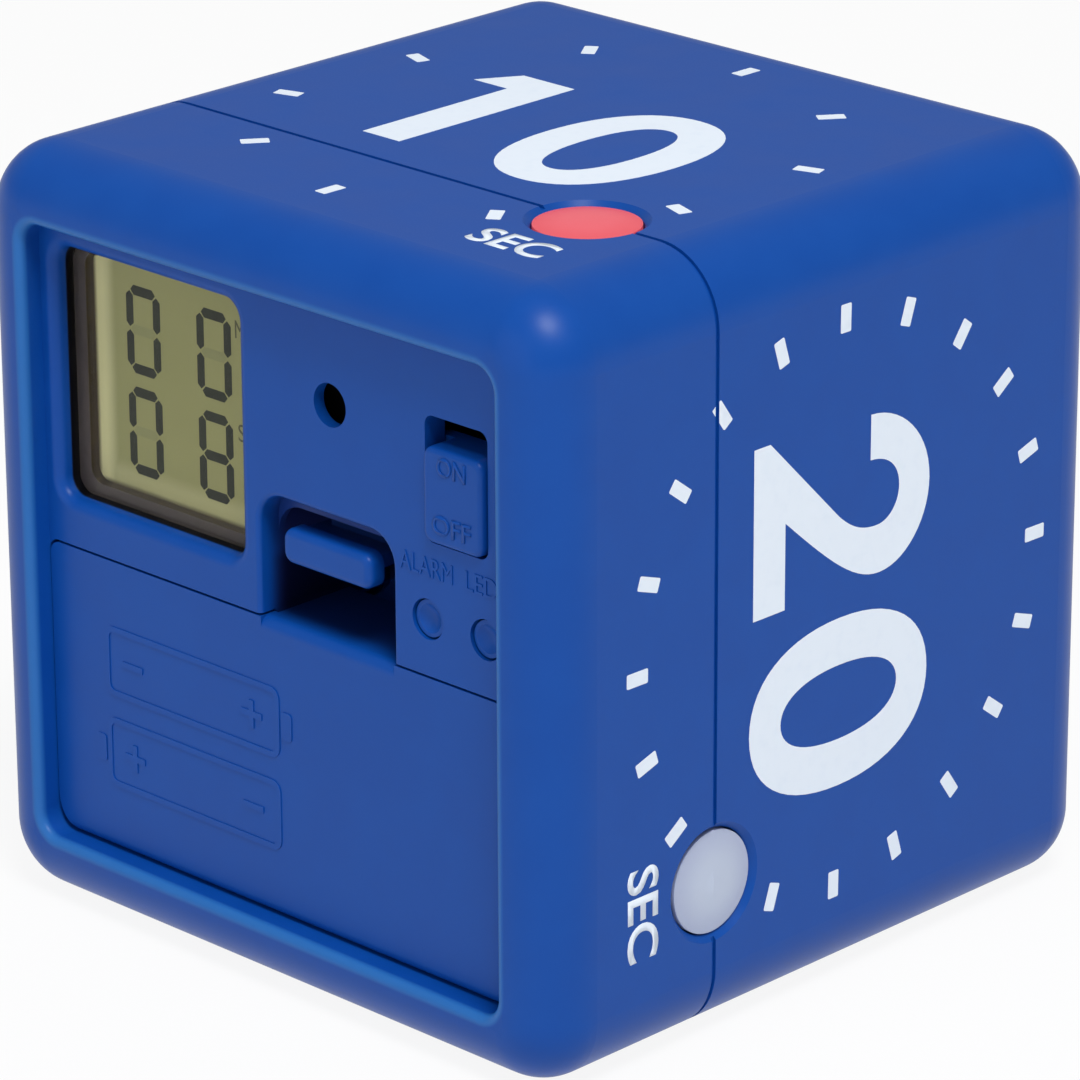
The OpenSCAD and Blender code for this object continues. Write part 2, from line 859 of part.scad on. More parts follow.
module door_hook(x) {
  top = bay_z0 + hook_rise;
  block(x - hook_w/2, x + hook_w/2, door_inner - sunk, door_inner + hook_depth, z_low + hook_fit, top);
  block(x - hook_w/2, x + hook_w/2, door_inner + hook_root, door_inner + hook_depth, z_low - hook_drop, top);
}

// The shelf that runs in from the door's top edge, and the bend at its end
module latch_leg() {
  x0 = notch_x - latch_w/2;
  x1 = notch_x + latch_w/2;
  block(notch_x0 + hook_fit, notch_x1 - hook_fit, door_inner - sunk, bend_y, bay_z1, bay_z1 + latch_t);
  intersection() {
    difference() {
      axle(bend_y, bend_z, 2*bend_r, x0, x1);
      axle(bend_y, bend_z, 2*(bend_r - latch_t), x0 - over, x1 + over);
    }
    block(x0 - over, x1 + over, bend_y, bend_y + bend_r + over, bay_z1 - over, leg_top + over);
  }
}

// Rounds the door's edge where the finger slides in
module door_nose() {
  r = door_nose_r;
  across(notch_x0, notch_x1)
    difference() {
      translate([y_panel - over, door_top - r])
        square([over + r, r + over]);
      translate([y_panel + r, door_top - r])
        circle(r = r);
    }
}

// Rounds a lower corner of the door, so that it swings clear of the rim
module door_foot() {
  r = door_foot_r;
  slab(y_panel - over, door_inner + over)
    translate([door_w/2 - r, bead_z - bead_r])
      difference() {
        translate([0, -over])
          square([r + over, r + over]);
        translate([0, r])
          circle(r = r);
      }
}

// The springing half of the latch: finger bar, leg and tooth
module door_latch() {
  x0 = notch_x - latch_w/2;
  x1 = notch_x + latch_w/2;
  tooth_y = catch_y1 + tooth_gap;
  tooth_z = catch_z + catch_lap;
  color("#3562b0") {
    axle(bend_y, latch_pivot_z, latch_t, x0, x1);
    block(x0, x1, y_panel + over, bend_y, leg_top - latch_t, leg_top);
    across(x0 + over, x1 - over)
      polygon([[tooth_y, leg_top - sunk], [tooth_y, tooth_z], [tooth_y + tooth_tip, tooth_z],
        [tooth_y + tooth_t, leg_top - sunk]]);
    finger_bar();
  }
}

module finger_bar() {
  z = bar_top - bar_h/2;
  facing_front(notch_x, y_panel + bar_round, z)
    end_cap(bar_w, bar_h, bar_corner_r, bar_round);
  slab(y_panel + bar_round, y_panel + bar_depth)
    translate([notch_x, z])
      rounded_rect(bar_w, bar_h, bar_corner_r);
}

// Display stack
module display_window() {
  color("#b9c6bd") {
    facing_front(window_x, lens_y + lens_edge, window_z)
      end_cap(lens_w, lens_h, lens_corner_r, lens_edge);
    slab(lens_y + lens_edge, y_inner)
      translate([window_x, window_z])
        rounded_rect(lens_w, lens_h, lens_corner_r);
    slab(y_inner, lens_back)
      translate([window_x, window_z])
        rounded_rect(lcd_w, lcd_h, lens_flange_r);
  }
}

module display_gasket() {
  color("#33291d")
    slab(lens_back, lcd_y)
      translate([window_x, window_z])
        difference() {
          square([lcd_w, lcd_h], center = true);
          rounded_rect(throat_w - 2*gasket_lap, throat_h - 2*gasket_lap, gasket_r);
        }
}

module lcd_cell() {
  color("#8f9068")
    slab(lcd_y, lcd_back)
      translate([window_x, window_z])
        square([lcd_w, lcd_h], center = true);
}

module lcd_frame() {
  color("#d8d8d2")
    slab(y_inner, panel_board_y)
      translate([window_x, window_z])
        difference() {
          square([frame_w, frame_h], center = true);
          square([lcd_w + fit, lcd_h + fit], center = true);
        }
}

module connector_strips() {
  reach = lcd_w/2 - strip_edge;
  color("#2a2a2c")
    for (side = [-1, 1]) {
      z = window_z + side*(lcd_h/2 - strip_edge - strip_w/2);
      block(window_x - reach, window_x + reach, lcd_back, panel_board_y, z - strip_w/2, z + strip_w/2);
    }
}

// Circuit boards
module panel_board() {
  side = pocket_wall + snap_gap;
  color("#1f6b3a")
    difference() {
      slab(panel_board_y, panel_board_back)
        difference() {
          translate([(panel_board_x0 + panel_board_x1)/2, (panel_board_z0 + panel_board_z1)/2])
            rounded_rect(panel_board_x1 - panel_board_x0, panel_board_z1 - panel_board_z0, board_corner_r);
          translate([notch_x0 - side, panel_board_z0 - over])
            square([notch_w + 2*side, notch_top + side + over - panel_board_z0]);
        }
      for (post = [panel_post_a, panel_post_b])
        rod(post.x, post.y, board_screw_d + head_gap, panel_board_y - over, panel_board_back + over);
      pin_holes();
    }
}

module main_board() {
  color("#1f6b3a")
    difference() {
      slab(board_y, board_back)
        translate([0, mid_z])
          rounded_rect(main_board_w, main_board_w, board_corner_r);
      for (side = [-1, 1]) {
        rod(side*case_screw_x, cell_mid_z, case_screw_d + head_gap, board_y - over, board_back + over);
        rod(side*board_screw_x, board_screw_z, board_screw_d + head_gap, board_y - over, board_back + over);
      }
      pin_holes();
    }
}

function pin_x(i) = window_x + pin_pitch*(i - (pin_count - 1)/2);

module pin_holes() {
  for (i = [0:pin_count - 1])
    rod(pin_x(i), pin_z, pin_hole_d, panel_board_y - over, board_back + over);
}

module link_pins() {
  color("#c9a24a")
    for (i = [0:pin_count - 1])
      block(pin_x(i) - pin_w/2, pin_x(i) + pin_w/2, panel_board_y - pin_stub, board_back + pin_stub,
        pin_z - pin_w/2, pin_z + pin_w/2);
}

module controller_blob() {
  color("#141416")
    intersection() {
      translate([blob_x, board_back + blob_h - blob_r, blob_z])
        sphere(r = blob_r, $fn = 180);
      block(blob_x - blob_r, blob_x + blob_r, board_back, board_back + blob_h + over,
        blob_z - blob_r, blob_z + blob_r);
    }
}

module crystal() {
  axis_y = board_back + crystal_d/2 + fit;
  color("#c4c8cc") {
    axle(axis_y, crystal_z, crystal_d, crystal_x, crystal_x + crystal_len);
    block(crystal_x, crystal_x + crystal_foot.x, board_back, axis_y, crystal_z - crystal_foot.y/2,
      crystal_z + crystal_foot.y/2);
  }
}

module smd_parts() {
  color("#3a3632")
    for (row = smd_rows, i = [0:smd_count - 1])
      translate([row.x + smd_pitch*i, board_back, row.y])
        cube(smd_size);
}

module buzzer() {
  color("#1b1b1d")
    difference() {
      rod(sound_x, sound_z, buzzer_d, y_inner + buzzer_gap, panel_board_y);
      rod(sound_x, sound_z, buzzer_port, y_inner, y_inner + 2*buzzer_port);
    }
}

// Slide switch
module switch_knob() {
  color("#3a66b2")
    difference() {
      union() {
        facing_front(slot_x, knob_front + knob_round, knob_z)
          end_cap(knob_w, knob_h, knob_r, knob_round);
        slab(knob_front + knob_round, knob_flange_y)
          translate([slot_x, knob_z])
            rounded_rect(knob_w, knob_h, knob_r);
        slab(knob_flange_y, knob_flange_y + knob_flange_t)
          translate([slot_x, knob_z])
            square([knob_w + 2*knob_flange_side, knob_h], center = true);
      }
      slab(y_inner - lever_socket, knob_flange_y + knob_flange_t + over)
        translate([slot_x, knob_z])
          square([lever_w + 2*turn_fit, lever_h + 2*turn_fit], center = true);
    }
}

module switch_lever() {
  color("#e4e2da")
    slab(y_inner - lever_socket + fit, panel_board_y - lever_floor)
      translate([slot_x, knob_z])
        square([lever_w, lever_h], center = true);
}

module switch_can() {
  front = panel_board_y - switch_can_t;
  color("#b8bcc0")
    difference() {
      slab(front, panel_board_y)
        translate([slot_x, slot_z])
          square([switch_can_w, switch_can_h], center = true);
      slab(front - over, panel_board_y - switch_can_floor)
        translate([slot_x, slot_z])
          square([lever_w + 2*slide_fit, lever_h + switch_travel + 2*slide_fit], center = true);
    }
}

// Push buttons with dished heads
module push_button(x) {
  difference() {
    union() {
      rod(x, button_z, button_d, button_front, button_flange_y + sunk);
      rod(x, button_z, button_flange_d, button_flange_y, button_flange_y + button_flange_t);
      rod(x, button_z, button_stem_d, button_flange_y, tact_y - plunger_out);
    }
    translate([x, button_front - sqrt(dish_r*dish_r - dish_edge*dish_edge), button_z])
      sphere(r = dish_r);
  }
}

module alarm_button() {
  color("#3a66b2")
    push_button(alarm_button_x);
}

module led_button() {
  color("#3a66b2")
    push_button(led_button_x);
}

module plunger(x) {
  rod(x, button_z, plunger_d, tact_y - plunger_out, tact_y + plunger_in);
}

module alarm_plunger() {
  color("#d8b23c")
    plunger(alarm_button_x);
}

module led_plunger() {
  color("#d8b23c")
    plunger(led_button_x);
}

module tact_switches() {
  color("#1c1c1e")
    for (x = [alarm_button_x, led_button_x])
      difference() {
        block(x - tact_w/2, x + tact_w/2, tact_y, panel_board_y, button_z - tact_w/2, button_z + tact_w/2);
        rod(x, button_z, plunger_d + 2*turn_fit, tact_y - over, panel_board_y - tact_floor);
      }
}

// Lamps
module lamp_lens() {
  edge = lamp_d/2;
  dome_r = (edge*edge + lamp_dome*lamp_dome)/(2*lamp_dome);
  low = cube_w - wall - lamp_flange_t;
  intersection() {
    translate([lamp_side, y_seam, low])
      cylinder(d = lamp_d, h = wall + lamp_flange_t);
    translate([lamp_side, y_seam, cube_w - lamp_sink + lamp_dome - dome_r])
      sphere(r = dome_r);
  }
  translate([lamp_side, y_seam, low])
    cylinder(d = lamp_flange_d, h = lamp_flange_t);
}

module lamp_lens_top() {
  color("#e8646a")
    on_face(0)
      lamp_lens();
}

module lamp_lens_right() {
  color("#c3cbdc")
    on_face(1)
      lamp_lens();
}

module lamp_lens_bottom() {
  color("#c3cbdc")
    on_face(2)
      lamp_lens();
}

module lamp_lens_left() {
  color("#c3cbdc")
    on_face(3)
      lamp_lens();
}

module led_chips() {
  color("#f0efe6")
    for (turn = [0:3])
      on_face(turn)
        translate([lamp_side - led_size.x/2, board_y - led_size.y, 0])
          translate([0, 0, mid_z + board_edge - led_edge - led_size.z])
            cube(led_size);
}

// Tilt sensor: a ball rolling in a round track
module tilt_cage() {
  track = tilt_ball_d + 2*slide_fit;
  rim = board_back + tilt_floor + tilt_ball_d + tilt_top;
  color("#2b2b2e")
    difference() {
      rod(0, tilt_z, 2*tilt_outer_r, board_back, rim);
      difference() {
        rod(0, tilt_z, 2*tilt_track_r + track, board_back + tilt_floor, rim + over);
        rod(0, tilt_z, 2*tilt_track_r - track, board_back, rim + 2*over);
      }
    }
}

module tilt_lid() {
  rim = board_back + tilt_floor + tilt_ball_d + tilt_top;
  color("#44444a")
    rod(0, tilt_z, 2*tilt_outer_r, rim, rim + tilt_lid_t);
}

module tilt_ball() {
  color("#c8ccd0")
    translate([0, board_back + tilt_floor + tilt_top/2 + tilt_ball_d/2, tilt_z - tilt_track_r])
      sphere(d = tilt_ball_d);
}

// Power
module cell(side, z) {
  body = cell_len - nub_len;
  translate([-side*cell_len/2, cell_y, z])
    rotate([0, 90*side, 0]) {
      cylinder(d = cell_d, h = body);
      translate([0, 0, body])
        cylinder(d = nub_d, h = nub_len);
    }
}

module cell_upper() {
  color("#6f7479")
    cell(-1, cell_z_high);
}

module cell_lower() {
  color("#6f7479")
    cell(1, cell_z_low);
}

module contact_plate(side, z) {
  x = side*(bay_x - contact_t/2);
  tail = tail_z(z);
  block(x - contact_t/2, x + contact_t/2, cell_y - contact_w/2, cell_y + contact_w/2,
    z - contact_w/2, z + contact_w/2);
  block(x - contact_t/2, x + contact_t/2, cell_y, board_y - fit, tail - tail_w/2, tail + tail_w/2);
}

module contact_bump(side, z) {
  reach = contact_room - contact_t - fit;
  translate([side*(bay_x - contact_t - reach), cell_y, z])
    rotate([0, 90*side, 0])
      cylinder(d1 = nub_d, d2 = nub_d + bump_flare, h = reach);
}

module contact_bridge() {
  color("#c9ccd0") {
    contact_plate(-1, cell_z_low);
    contact_plate(-1, cell_z_high);
    contact_bump(-1, cell_z_high);
    block(-bay_x, -bay_x + contact_t, cell_y - bridge_w/2, cell_y + bridge_w/2, cell_z_low, cell_z_high);
  }
}

module contact_plus() {
  color("#c9ccd0") {
    contact_plate(1, cell_z_low);
    contact_bump(1, cell_z_low);
  }
}

module contact_minus() {
  color("#c9ccd0")
    contact_plate(1, cell_z_high);
}

// Conical contact springs, each one unbroken wire
function spring_point(t) =
  let (a = 360*spring_turns*t, r = spring_root_r + (spring_tip_r - spring_root_r)*t)
  [r*cos(a), r*sin(a), spring_len*t];

function spring_ring(t) =
  let (
    step = 0.002,
    ahead = spring_point(t + step) - spring_point(t - step),
    run = ahead/norm(ahead),
    side = cross([0, 0, 1], run)/norm(cross([0, 0, 1], run)),
    up = cross(run, side)
  )
  [for (k = [0:spring_sides - 1])
    spring_point(t) + spring_wire/2*(cos(360*k/spring_sides)*side + sin(360*k/spring_sides)*up)];

module spring_coil() {
  rings = round(spring_turns*spring_steps);
  sides = spring_sides;
  points = [for (i = [0:rings]) each spring_ring(i/rings)];
  walls = [for (i = [0:rings - 1], k = [0:sides - 1])
    [(i + 1)*sides + k, (i + 1)*sides + (k + 1)%sides, i*sides + (k + 1)%sides, i*sides + k]];
  start = [for (k = [0:sides - 1]) k];
  finish = [for (k = [0:sides - 1]) (rings + 1)*sides - 1 - k];
  polyhedron(points = points, faces = concat(walls, [start, finish]));
}

// Least clear distance between neighbouring turns of one spring
spring_marks = [for (i = [0:100]) spring_point(i/100)];
spring_clear = min([for (i = [0:100], j = [0:100]) if ((j - i)*spring_turns/100 > 0.6)
  norm(spring_marks[i] - spring_marks[j])]) - spring_wire;
echo(spring_clear = spring_clear);

module contact_spring(side, z) {
  translate([side*(bay_x - contact_t - spring_wire/2), cell_y, z])
    rotate([0, -90*side, 0])
      spring_coil();
}

module contact_springs() {
  color("#d4d7da") {
    contact_spring(-1, cell_z_low);
    contact_spring(1, cell_z_high);
  }
}

// Fasteners: a screw along Y whose head lies on the front or back of its shank
module cross_slot(x, z, d, y0, y1) {
  long = screw_slot_share*d/2;
  short = screw_slot_w/2;
  block(x - long, x + long, y0, y1, z - short, z + short);
  block(x - short, x + short, y0, y1, z - long, z + long);
}

module case_screws() {
  tip = case_head_y + case_head_h + case_screw_len;
  color("#a9adb2")
    for (side = [-1, 1])
      difference() {
        union() {
          rod(side*case_screw_x, cell_mid_z, case_head_d, case_head_y, case_head_y + case_head_h);
          rod(side*case_screw_x, cell_mid_z, case_screw_d, case_head_y + sunk, tip);
        }
        cross_slot(side*case_screw_x, cell_mid_z, case_head_d, case_head_y - over,
          case_head_y + case_slot_depth);
      }
}

module main_board_screws() {
  color("#a9adb2")
    for (side = [-1, 1])
      difference() {
        union() {
          rod(side*board_screw_x, board_screw_z, board_head_d, board_y - board_head_h, board_y);
          rod(side*board_screw_x, board_screw_z, board_screw_d, board_y - sunk, board_back + board_screw_len);
        }
        cross_slot(side*board_screw_x, board_screw_z, board_head_d, board_y - board_head_h - over,
          board_y - board_head_h + board_slot_depth);
      }
}

module panel_board_screws() {
  back = panel_board_back + board_head_h;
  color("#a9adb2")
    for (post = [panel_post_a, panel_post_b])
      difference() {
        union() {
          rod(post.x, post.y, board_head_d, panel_board_back, back);
          rod(post.x, post.y, board_screw_d, panel_board_y - panel_screw_depth, panel_board_back + sunk);
        }
        cross_slot(post.x, post.y, board_head_d, back - board_slot_depth, back + over);
      }
}

front_case();
rear_case();
battery_door();
door_latch();
display_window();
display_gasket();
lcd_cell();
lcd_frame();
connector_strips();
panel_board();
main_board();
link_pins();
controller_blob();
crystal();
smd_parts();
buzzer();
switch_knob();
switch_lever();
switch_can();
alarm_button();
led_button();
alarm_plunger();
led_plunger();
tact_switches();
lamp_lens_top();
lamp_lens_right();
lamp_lens_bottom();
lamp_lens_left();
led_chips();
tilt_cage();
tilt_lid();
tilt_ball();
cell_upper();
cell_lower();
contact_bridge();
contact_plus();
contact_minus();
contact_springs();
case_screws();
main_board_screws();
panel_board_screws();
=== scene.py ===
"""Looks of the digital cube timer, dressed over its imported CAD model."""

from __future__ import annotations

import json
import logging
import math
from dataclasses import dataclass, field, replace
from enum import Enum
from typing import Mapping, Optional, Sequence, Union

import bmesh
import bpy
from mathutils import Matrix, Vector

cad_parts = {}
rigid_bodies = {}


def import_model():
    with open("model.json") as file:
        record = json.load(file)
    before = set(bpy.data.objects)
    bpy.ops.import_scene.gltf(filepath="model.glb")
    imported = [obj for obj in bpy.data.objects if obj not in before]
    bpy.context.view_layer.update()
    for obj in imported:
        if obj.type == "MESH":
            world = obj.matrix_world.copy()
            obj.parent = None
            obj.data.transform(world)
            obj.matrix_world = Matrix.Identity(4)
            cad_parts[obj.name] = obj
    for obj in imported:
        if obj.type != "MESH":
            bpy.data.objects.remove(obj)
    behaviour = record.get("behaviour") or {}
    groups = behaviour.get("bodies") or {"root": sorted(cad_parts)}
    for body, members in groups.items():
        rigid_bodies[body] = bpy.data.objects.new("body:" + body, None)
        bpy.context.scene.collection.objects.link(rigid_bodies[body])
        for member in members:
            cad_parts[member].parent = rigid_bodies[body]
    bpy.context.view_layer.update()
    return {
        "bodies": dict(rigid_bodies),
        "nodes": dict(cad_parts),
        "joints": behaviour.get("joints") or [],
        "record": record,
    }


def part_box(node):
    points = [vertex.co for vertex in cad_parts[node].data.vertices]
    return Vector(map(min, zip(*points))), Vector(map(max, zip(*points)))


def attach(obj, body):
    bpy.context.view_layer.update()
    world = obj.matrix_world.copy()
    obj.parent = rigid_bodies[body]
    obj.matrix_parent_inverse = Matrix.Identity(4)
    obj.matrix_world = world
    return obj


LOG = logging.getLogger("cube_timer")
# A millimetre in the frame's metres. Sizes below are in millimetres unless said otherwise.
MM = 0.001
# From the cube's middle to each of its faces, which is also the middle's height.
MIDDLE = 30.0
# Where a lamp lens lies on its face, from the face's middle.
LAMP = (17.4, -13.0)
# Middle of the display window on the front, and half the side of what its border leaves open.
WINDOW = (-13.2, 42.7)
WINDOW_HALF = 9.1
# Handle of a quarter circle, as a share of its radius.
QUARTER = 0.5523

Point = tuple[float, float]
Triple = tuple[float, float, float]
Color = tuple[float, float, float]
Number = Union["Wire", float]


class Facing(Enum):
    """A way for a flat drawing to face: its right, its up and its outward direction."""

    TOP = ((1, 0, 0), (0, 1, 0), (0, 0, 1))
    RIGHT = ((0, 0, -1), (0, 1, 0), (1, 0, 0))
    BOTTOM = ((-1, 0, 0), (0, 1, 0), (0, 0, -1))
    LEFT = ((0, 0, 1), (0, 1, 0), (-1, 0, 0))
    FRONT = ((1, 0, 0), (0, 0, 1), (0, -1, 0))

    def place(self, origin: Triple) -> Matrix:
        """Gives the matrix that carries a drawing to its place.

        Args:
            origin: Where the drawing's own origin goes, in millimetres.

        Returns:
            A matrix from the drawing's millimetres to the frame's metres.
        """
        right, up, out = (Vector(direction) for direction in self.value)
        turn = Matrix((right, up, out)).transposed().to_4x4()
        return Matrix.Scale(MM, 4) @ Matrix.Translation(origin) @ turn


@dataclass
class Wire:
    """One output socket, with arithmetic that adds Math nodes."""

    finish: "NodeFinish"
    socket: bpy.types.NodeSocket

    def math(self, operation: str, first: Number, second: Number) -> "Wire":
        """Adds a Math node.

        Args:
            operation: The Math node's operation.
            first: The value of its first socket.
            second: The value of its second socket.

        Returns:
            The node's result.
        """
        return self.finish.node("ShaderNodeMath", {"operation": operation}, {0: first, 1: second})

    def __add__(self, other: Number) -> "Wire":
        """Adds."""
        return self.math("ADD", self, other)

    def __radd__(self, other: Number) -> "Wire":
        """Adds, from the right."""
        return self.math("ADD", other, self)

    def __sub__(self, other: Number) -> "Wire":
        """Subtracts."""
        return self.math("SUBTRACT", self, other)

    def __rsub__(self, other: Number) -> "Wire":
        """Subtracts this from the other."""
        return self.math("SUBTRACT", other, self)

    def __mul__(self, other: Number) -> "Wire":
        """Multiplies."""
        return self.math("MULTIPLY", self, other)

    def __truediv__(self, other: Number) -> "Wire":
        """Divides."""
        return self.math("DIVIDE", self, other)

    def __abs__(self) -> "Wire":
        """Drops the sign."""
        return self.math("ABSOLUTE", self, 0.0)

    def __mod__(self, other: Number) -> "Wire":
        """Wraps into a repeat."""
        return self.math("FLOORED_MODULO", self, other)

    def root(self) -> "Wire":
        """Gives the square root."""
        return self.math("SQRT", self, 0.0)

    def larger(self, other: Number) -> "Wire":
        """Gives the larger of two values."""
        return self.math("MAXIMUM", self, other)


@dataclass(frozen=True)
class Pattern:
    """A noise pattern: the size of its patches, its detail and its scale along each axis.

    It spreads the roughness by its spread and raises the surface by its depth.
    """

    size: float
    detail: float = 2.0
    spread: float = 0.0
    depth: float = 0.0
    stretch: Triple = (1, 1, 1)


class NodeFinish:
    """A material under construction, with one Principled shader."""

    def __init__(self, name: str) -> None:
        """Starts the material.

        Args:
            name: The material's name.
        """
        self.material = bpy.data.materials.new(name)
        self.material.use_nodes = True
        self.tree = self.material.node_tree
        self.tree.nodes.clear()
        self.output = self.tree.nodes.new("ShaderNodeOutputMaterial")
        self.shader = self.tree.nodes.new("ShaderNodeBsdfPrincipled")
        self.tree.links.new(self.shader.outputs[0], self.output.inputs["Surface"])

    def feed(self, socket: bpy.types.NodeSocket, value: object) -> None:
        """Links a wire to a socket, or sets the socket's own value.

        Args:
            socket: The input socket.
            value: A wire, a number, a colour or a vector.
        """
        if isinstance(value, Wire):
            self.tree.links.new(value.socket, socket)
        elif isinstance(value, tuple) and socket.type == "RGBA":
            socket.default_value = (*value[:3], 1.0)
        else:
            socket.default_value = value

    def node(
        self,
        kind: str,
        settings: Optional[Mapping[str, object]] = None,
        inputs: Optional[Mapping[Union[int, str], object]] = None,
        output: Union[int, str] = 0,
    ) -> Wire:
        """Adds a node of any type.

        Args:
            kind: The node's type.
            settings: Its settings.
            inputs: Values or wires of its sockets.
            output: The socket that the wire comes from.

        Returns:
            The wire from that socket.
        """
        made = self.tree.nodes.new(kind)
        for key, value in (settings or {}).items():
            setattr(made, key, value)
        for key, value in (inputs or {}).items():
            self.feed(made.inputs[key], value)
        return Wire(self, made.outputs[output])

    def vector(self, operation: str, inputs: Mapping[int, object], output: Union[int, str] = 0) -> Wire:
        """Adds a Vector Math node.

        Args:
            operation: Its operation.
            inputs: Values or wires of its sockets.
            output: The socket that the wire comes from.

        Returns:
            The wire from that socket.
        """
        return self.node("ShaderNodeVectorMath", {"operation": operation}, inputs, output)

    def place(self) -> Wire:
        """Gives the Object coordinates, in metres."""
        return self.node("ShaderNodeTexCoord", output="Object")

    def axes(self) -> tuple[Wire, Wire, Wire]:
        """Gives X, Y and Z of the Object coordinates, in metres."""
        split = self.node("ShaderNodeSeparateXYZ", inputs={0: self.place()})
        return tuple(Wire(self, socket) for socket in split.socket.node.outputs)

    def noise(self, pattern: Pattern) -> Wire:
        """Adds a noise pattern.

        Args:
            pattern: The pattern.

        Returns:
            A value from 0 to 1.
        """
        where = self.node("ShaderNodeMapping", {}, {"Vector": self.place(), "Scale": pattern.stretch})
        inputs = {"Vector": where, "Scale": 1 / (pattern.size * MM), "Detail": pattern.detail}
        return self.node("ShaderNodeTexNoise", {}, inputs)

    def blend(self, factor: Number, first: object, second: object) -> Wire:
        """Mixes two colours.

        Args:
            factor: 0 for the first colour, 1 for the second.
            first: A colour or wire.
            second: A colour or wire.

        Returns:
            The mixed colour.
        """
        return self.node("ShaderNodeMix", {"data_type": "RGBA"}, {0: factor, 6: first, 7: second}, 2)

    def step(self, value: Number, low: float, high: float) -> Wire:
        """Rises smoothly from 0 at low to 1 at high.

        Args:
            value: The value.
            low: Where the rise starts.
            high: Where it ends.

        Returns:
            A value from 0 to 1.
        """
        return self.node(
            "ShaderNodeMapRange",
            {"interpolation_type": "SMOOTHSTEP"},
            {"Value": value, "From Min": low, "From Max": high},
        )

    @staticmethod
    def varied(base: float, *spreads: tuple[Wire, float]) -> Wire:
        """Varies a value about its base.

        Args:
            base: The value's base.
            spreads: Patterns from 0 to 1, each with the whole spread that it gives the value.

        Returns:
            The varied value.
        """
        return sum(((pattern - 0.5) * spread for pattern, spread in spreads if spread), base)

    def bump(self, height: Wire, depth: float, strength: float = 1.0) -> None:
        """Raises the surface by a pattern, if it has a depth.

        Args:
            height: The pattern, from 0 to 1.
            depth: Its depth.
            strength: How much of it shows.
        """
        if depth:
            inputs = {"Height": height, "Distance": depth * MM, "Strength": strength}
            self.set({"Normal": self.node("ShaderNodeBump", {}, inputs)})

    def set(self, inputs: Mapping[str, object]) -> None:
        """Sets or links sockets of the Principled shader.

        Args:
            inputs: Socket names with their values.
        """
        for key, value in inputs.items():
            self.feed(self.shader.inputs[key], value)

    def surface(
        self, color: object, roughness: Number, specular: float = 0.5, metallic: Number = 0.0
    ) -> None:
        """Sets the Principled shader's main sockets.

        Args:
            color: The colour, or its wire.
            roughness: The roughness.
            specular: The specular level.
            metallic: How far it is metal.
        """
        self.set({"Base Color": color, "Roughness": roughness})
        self.set({"Specular IOR Level": specular, "Metallic": metallic})


@dataclass(frozen=True)
class Finish:
    """A finish of two colours in soft patches, with a fine grain.

    Where its patch pattern rises through change, the first colour gives way to the second.
    """

    name: str
    color: Color
    second: Color
    roughness: float = 0.5
    specular: float = 0.5
    metallic: float = 0.0
    change: Point = (0.3, 0.7)
    patch: Pattern = Pattern(5.0)
    grain: Pattern = Pattern(0.2)

    def tone(self, made: NodeFinish, patch: Wire) -> Wire:
        """Gives the finish's colour.

        Args:
            made: The material under construction.
            patch: The pattern of its colour patches.

        Returns:
            The colour.
        """
        return made.blend(made.step(patch, *self.change), self.color, self.second)

    def material(self) -> bpy.types.Material:
        """Builds the material."""
        made = NodeFinish(self.name)
        patch, grain = made.noise(self.patch), made.noise(self.grain)
        rough = made.varied(self.roughness, (patch, self.patch.spread), (grain, self.grain.spread))
        made.surface(self.tone(made, patch), rough, self.specular, self.metallic)
        made.bump(grain, self.grain.depth)
        return made.material


@dataclass(frozen=True)
class MouldedPlastic(Finish):
    """Satin moulded plastic with a fine eroded texture."""

    roughness: float = 0.37
    specular: float = 0.2
    patch: Pattern = Pattern(5.0, 3.0, spread=0.12)
    grain: Pattern = Pattern(0.16, spread=0.08, depth=0.0025)


@dataclass(frozen=True)
class ShadeWell:
    """An opening of the panel with painted shade inside.

    Its sides lie half a size from its middle and fade out from edge over soft. Inwards, it darkens from
    start over fade.
    """

    middle: Point
    half: Point
    start: float
    fade: float
    color: Color
    soft: float = 0.14
    edge: float = 0.02


@dataclass(frozen=True)
class FrontPlastic(MouldedPlastic):
    """Plastic of the front, with painted shade in its openings and a painted highlight on its recess rim."""

    shade_wells: tuple[ShadeWell, ...] = ()
    # Painted highlight: a paler blue along the rounded rim of the recess.
    rim_highlight: Color = (0.025, 0.155, 0.46)
    rim_highlight_share: float = 0.85
    recess_half: float = 24.55
    recess_corner: float = 1.8
    rim_y: float = -30.0
    rim_w: float = 0.6

    def rim(self, made: NodeFinish, axes: tuple[Wire, Wire, Wire]) -> Wire:
        """Finds the rounded rim of the recess, where a highlight is painted.

        Args:
            made: The material under construction.
            axes: The place, in metres.

        Returns:
            1 on the rim, otherwise 0.
        """
        x, y, z = axes
        inner = self.recess_half - self.recess_corner
        across = (abs(x / MM) - inner).larger(0.0)
        along = (abs(z / MM - MIDDLE) - inner).larger(0.0)
        out = (across * across + along * along).root()
        ways = (out - self.recess_corner, y / MM - self.rim_y)
        aside, ahead = (1 - made.step(abs(way - self.rim_w / 2), self.rim_w / 3, self.rim_w) for way in ways)
        return aside * ahead

    def tone(self, made: NodeFinish, patch: Wire) -> Wire:
        """Gives the plastic's colour, with painted shade in its openings and a painted highlight on its rim.

        Args:
            made: The material under construction.
            patch: The pattern of its colour patches.

        Returns:
            The colour.
        """
        shade = super().tone(made, patch)
        axes = x, y, z = made.axes()
        for well in self.shade_wells:
            across = abs(x / MM - well.middle[0]) - well.half[0]
            along = abs(z / MM - well.middle[1]) - well.half[1]
            inside = 1 - made.step(across.larger(along), well.edge, well.edge + well.soft)
            deep = made.step(y / MM, well.start, well.start + well.fade)
            # Painted shade: the colour darkens inside each opening, more the deeper it goes.
            shade = made.blend(inside * deep, shade, well.color)
        # Painted highlight on the recess rim.
        return made.blend(self.rim(made, axes) * self.rim_highlight_share, shade, self.rim_highlight)


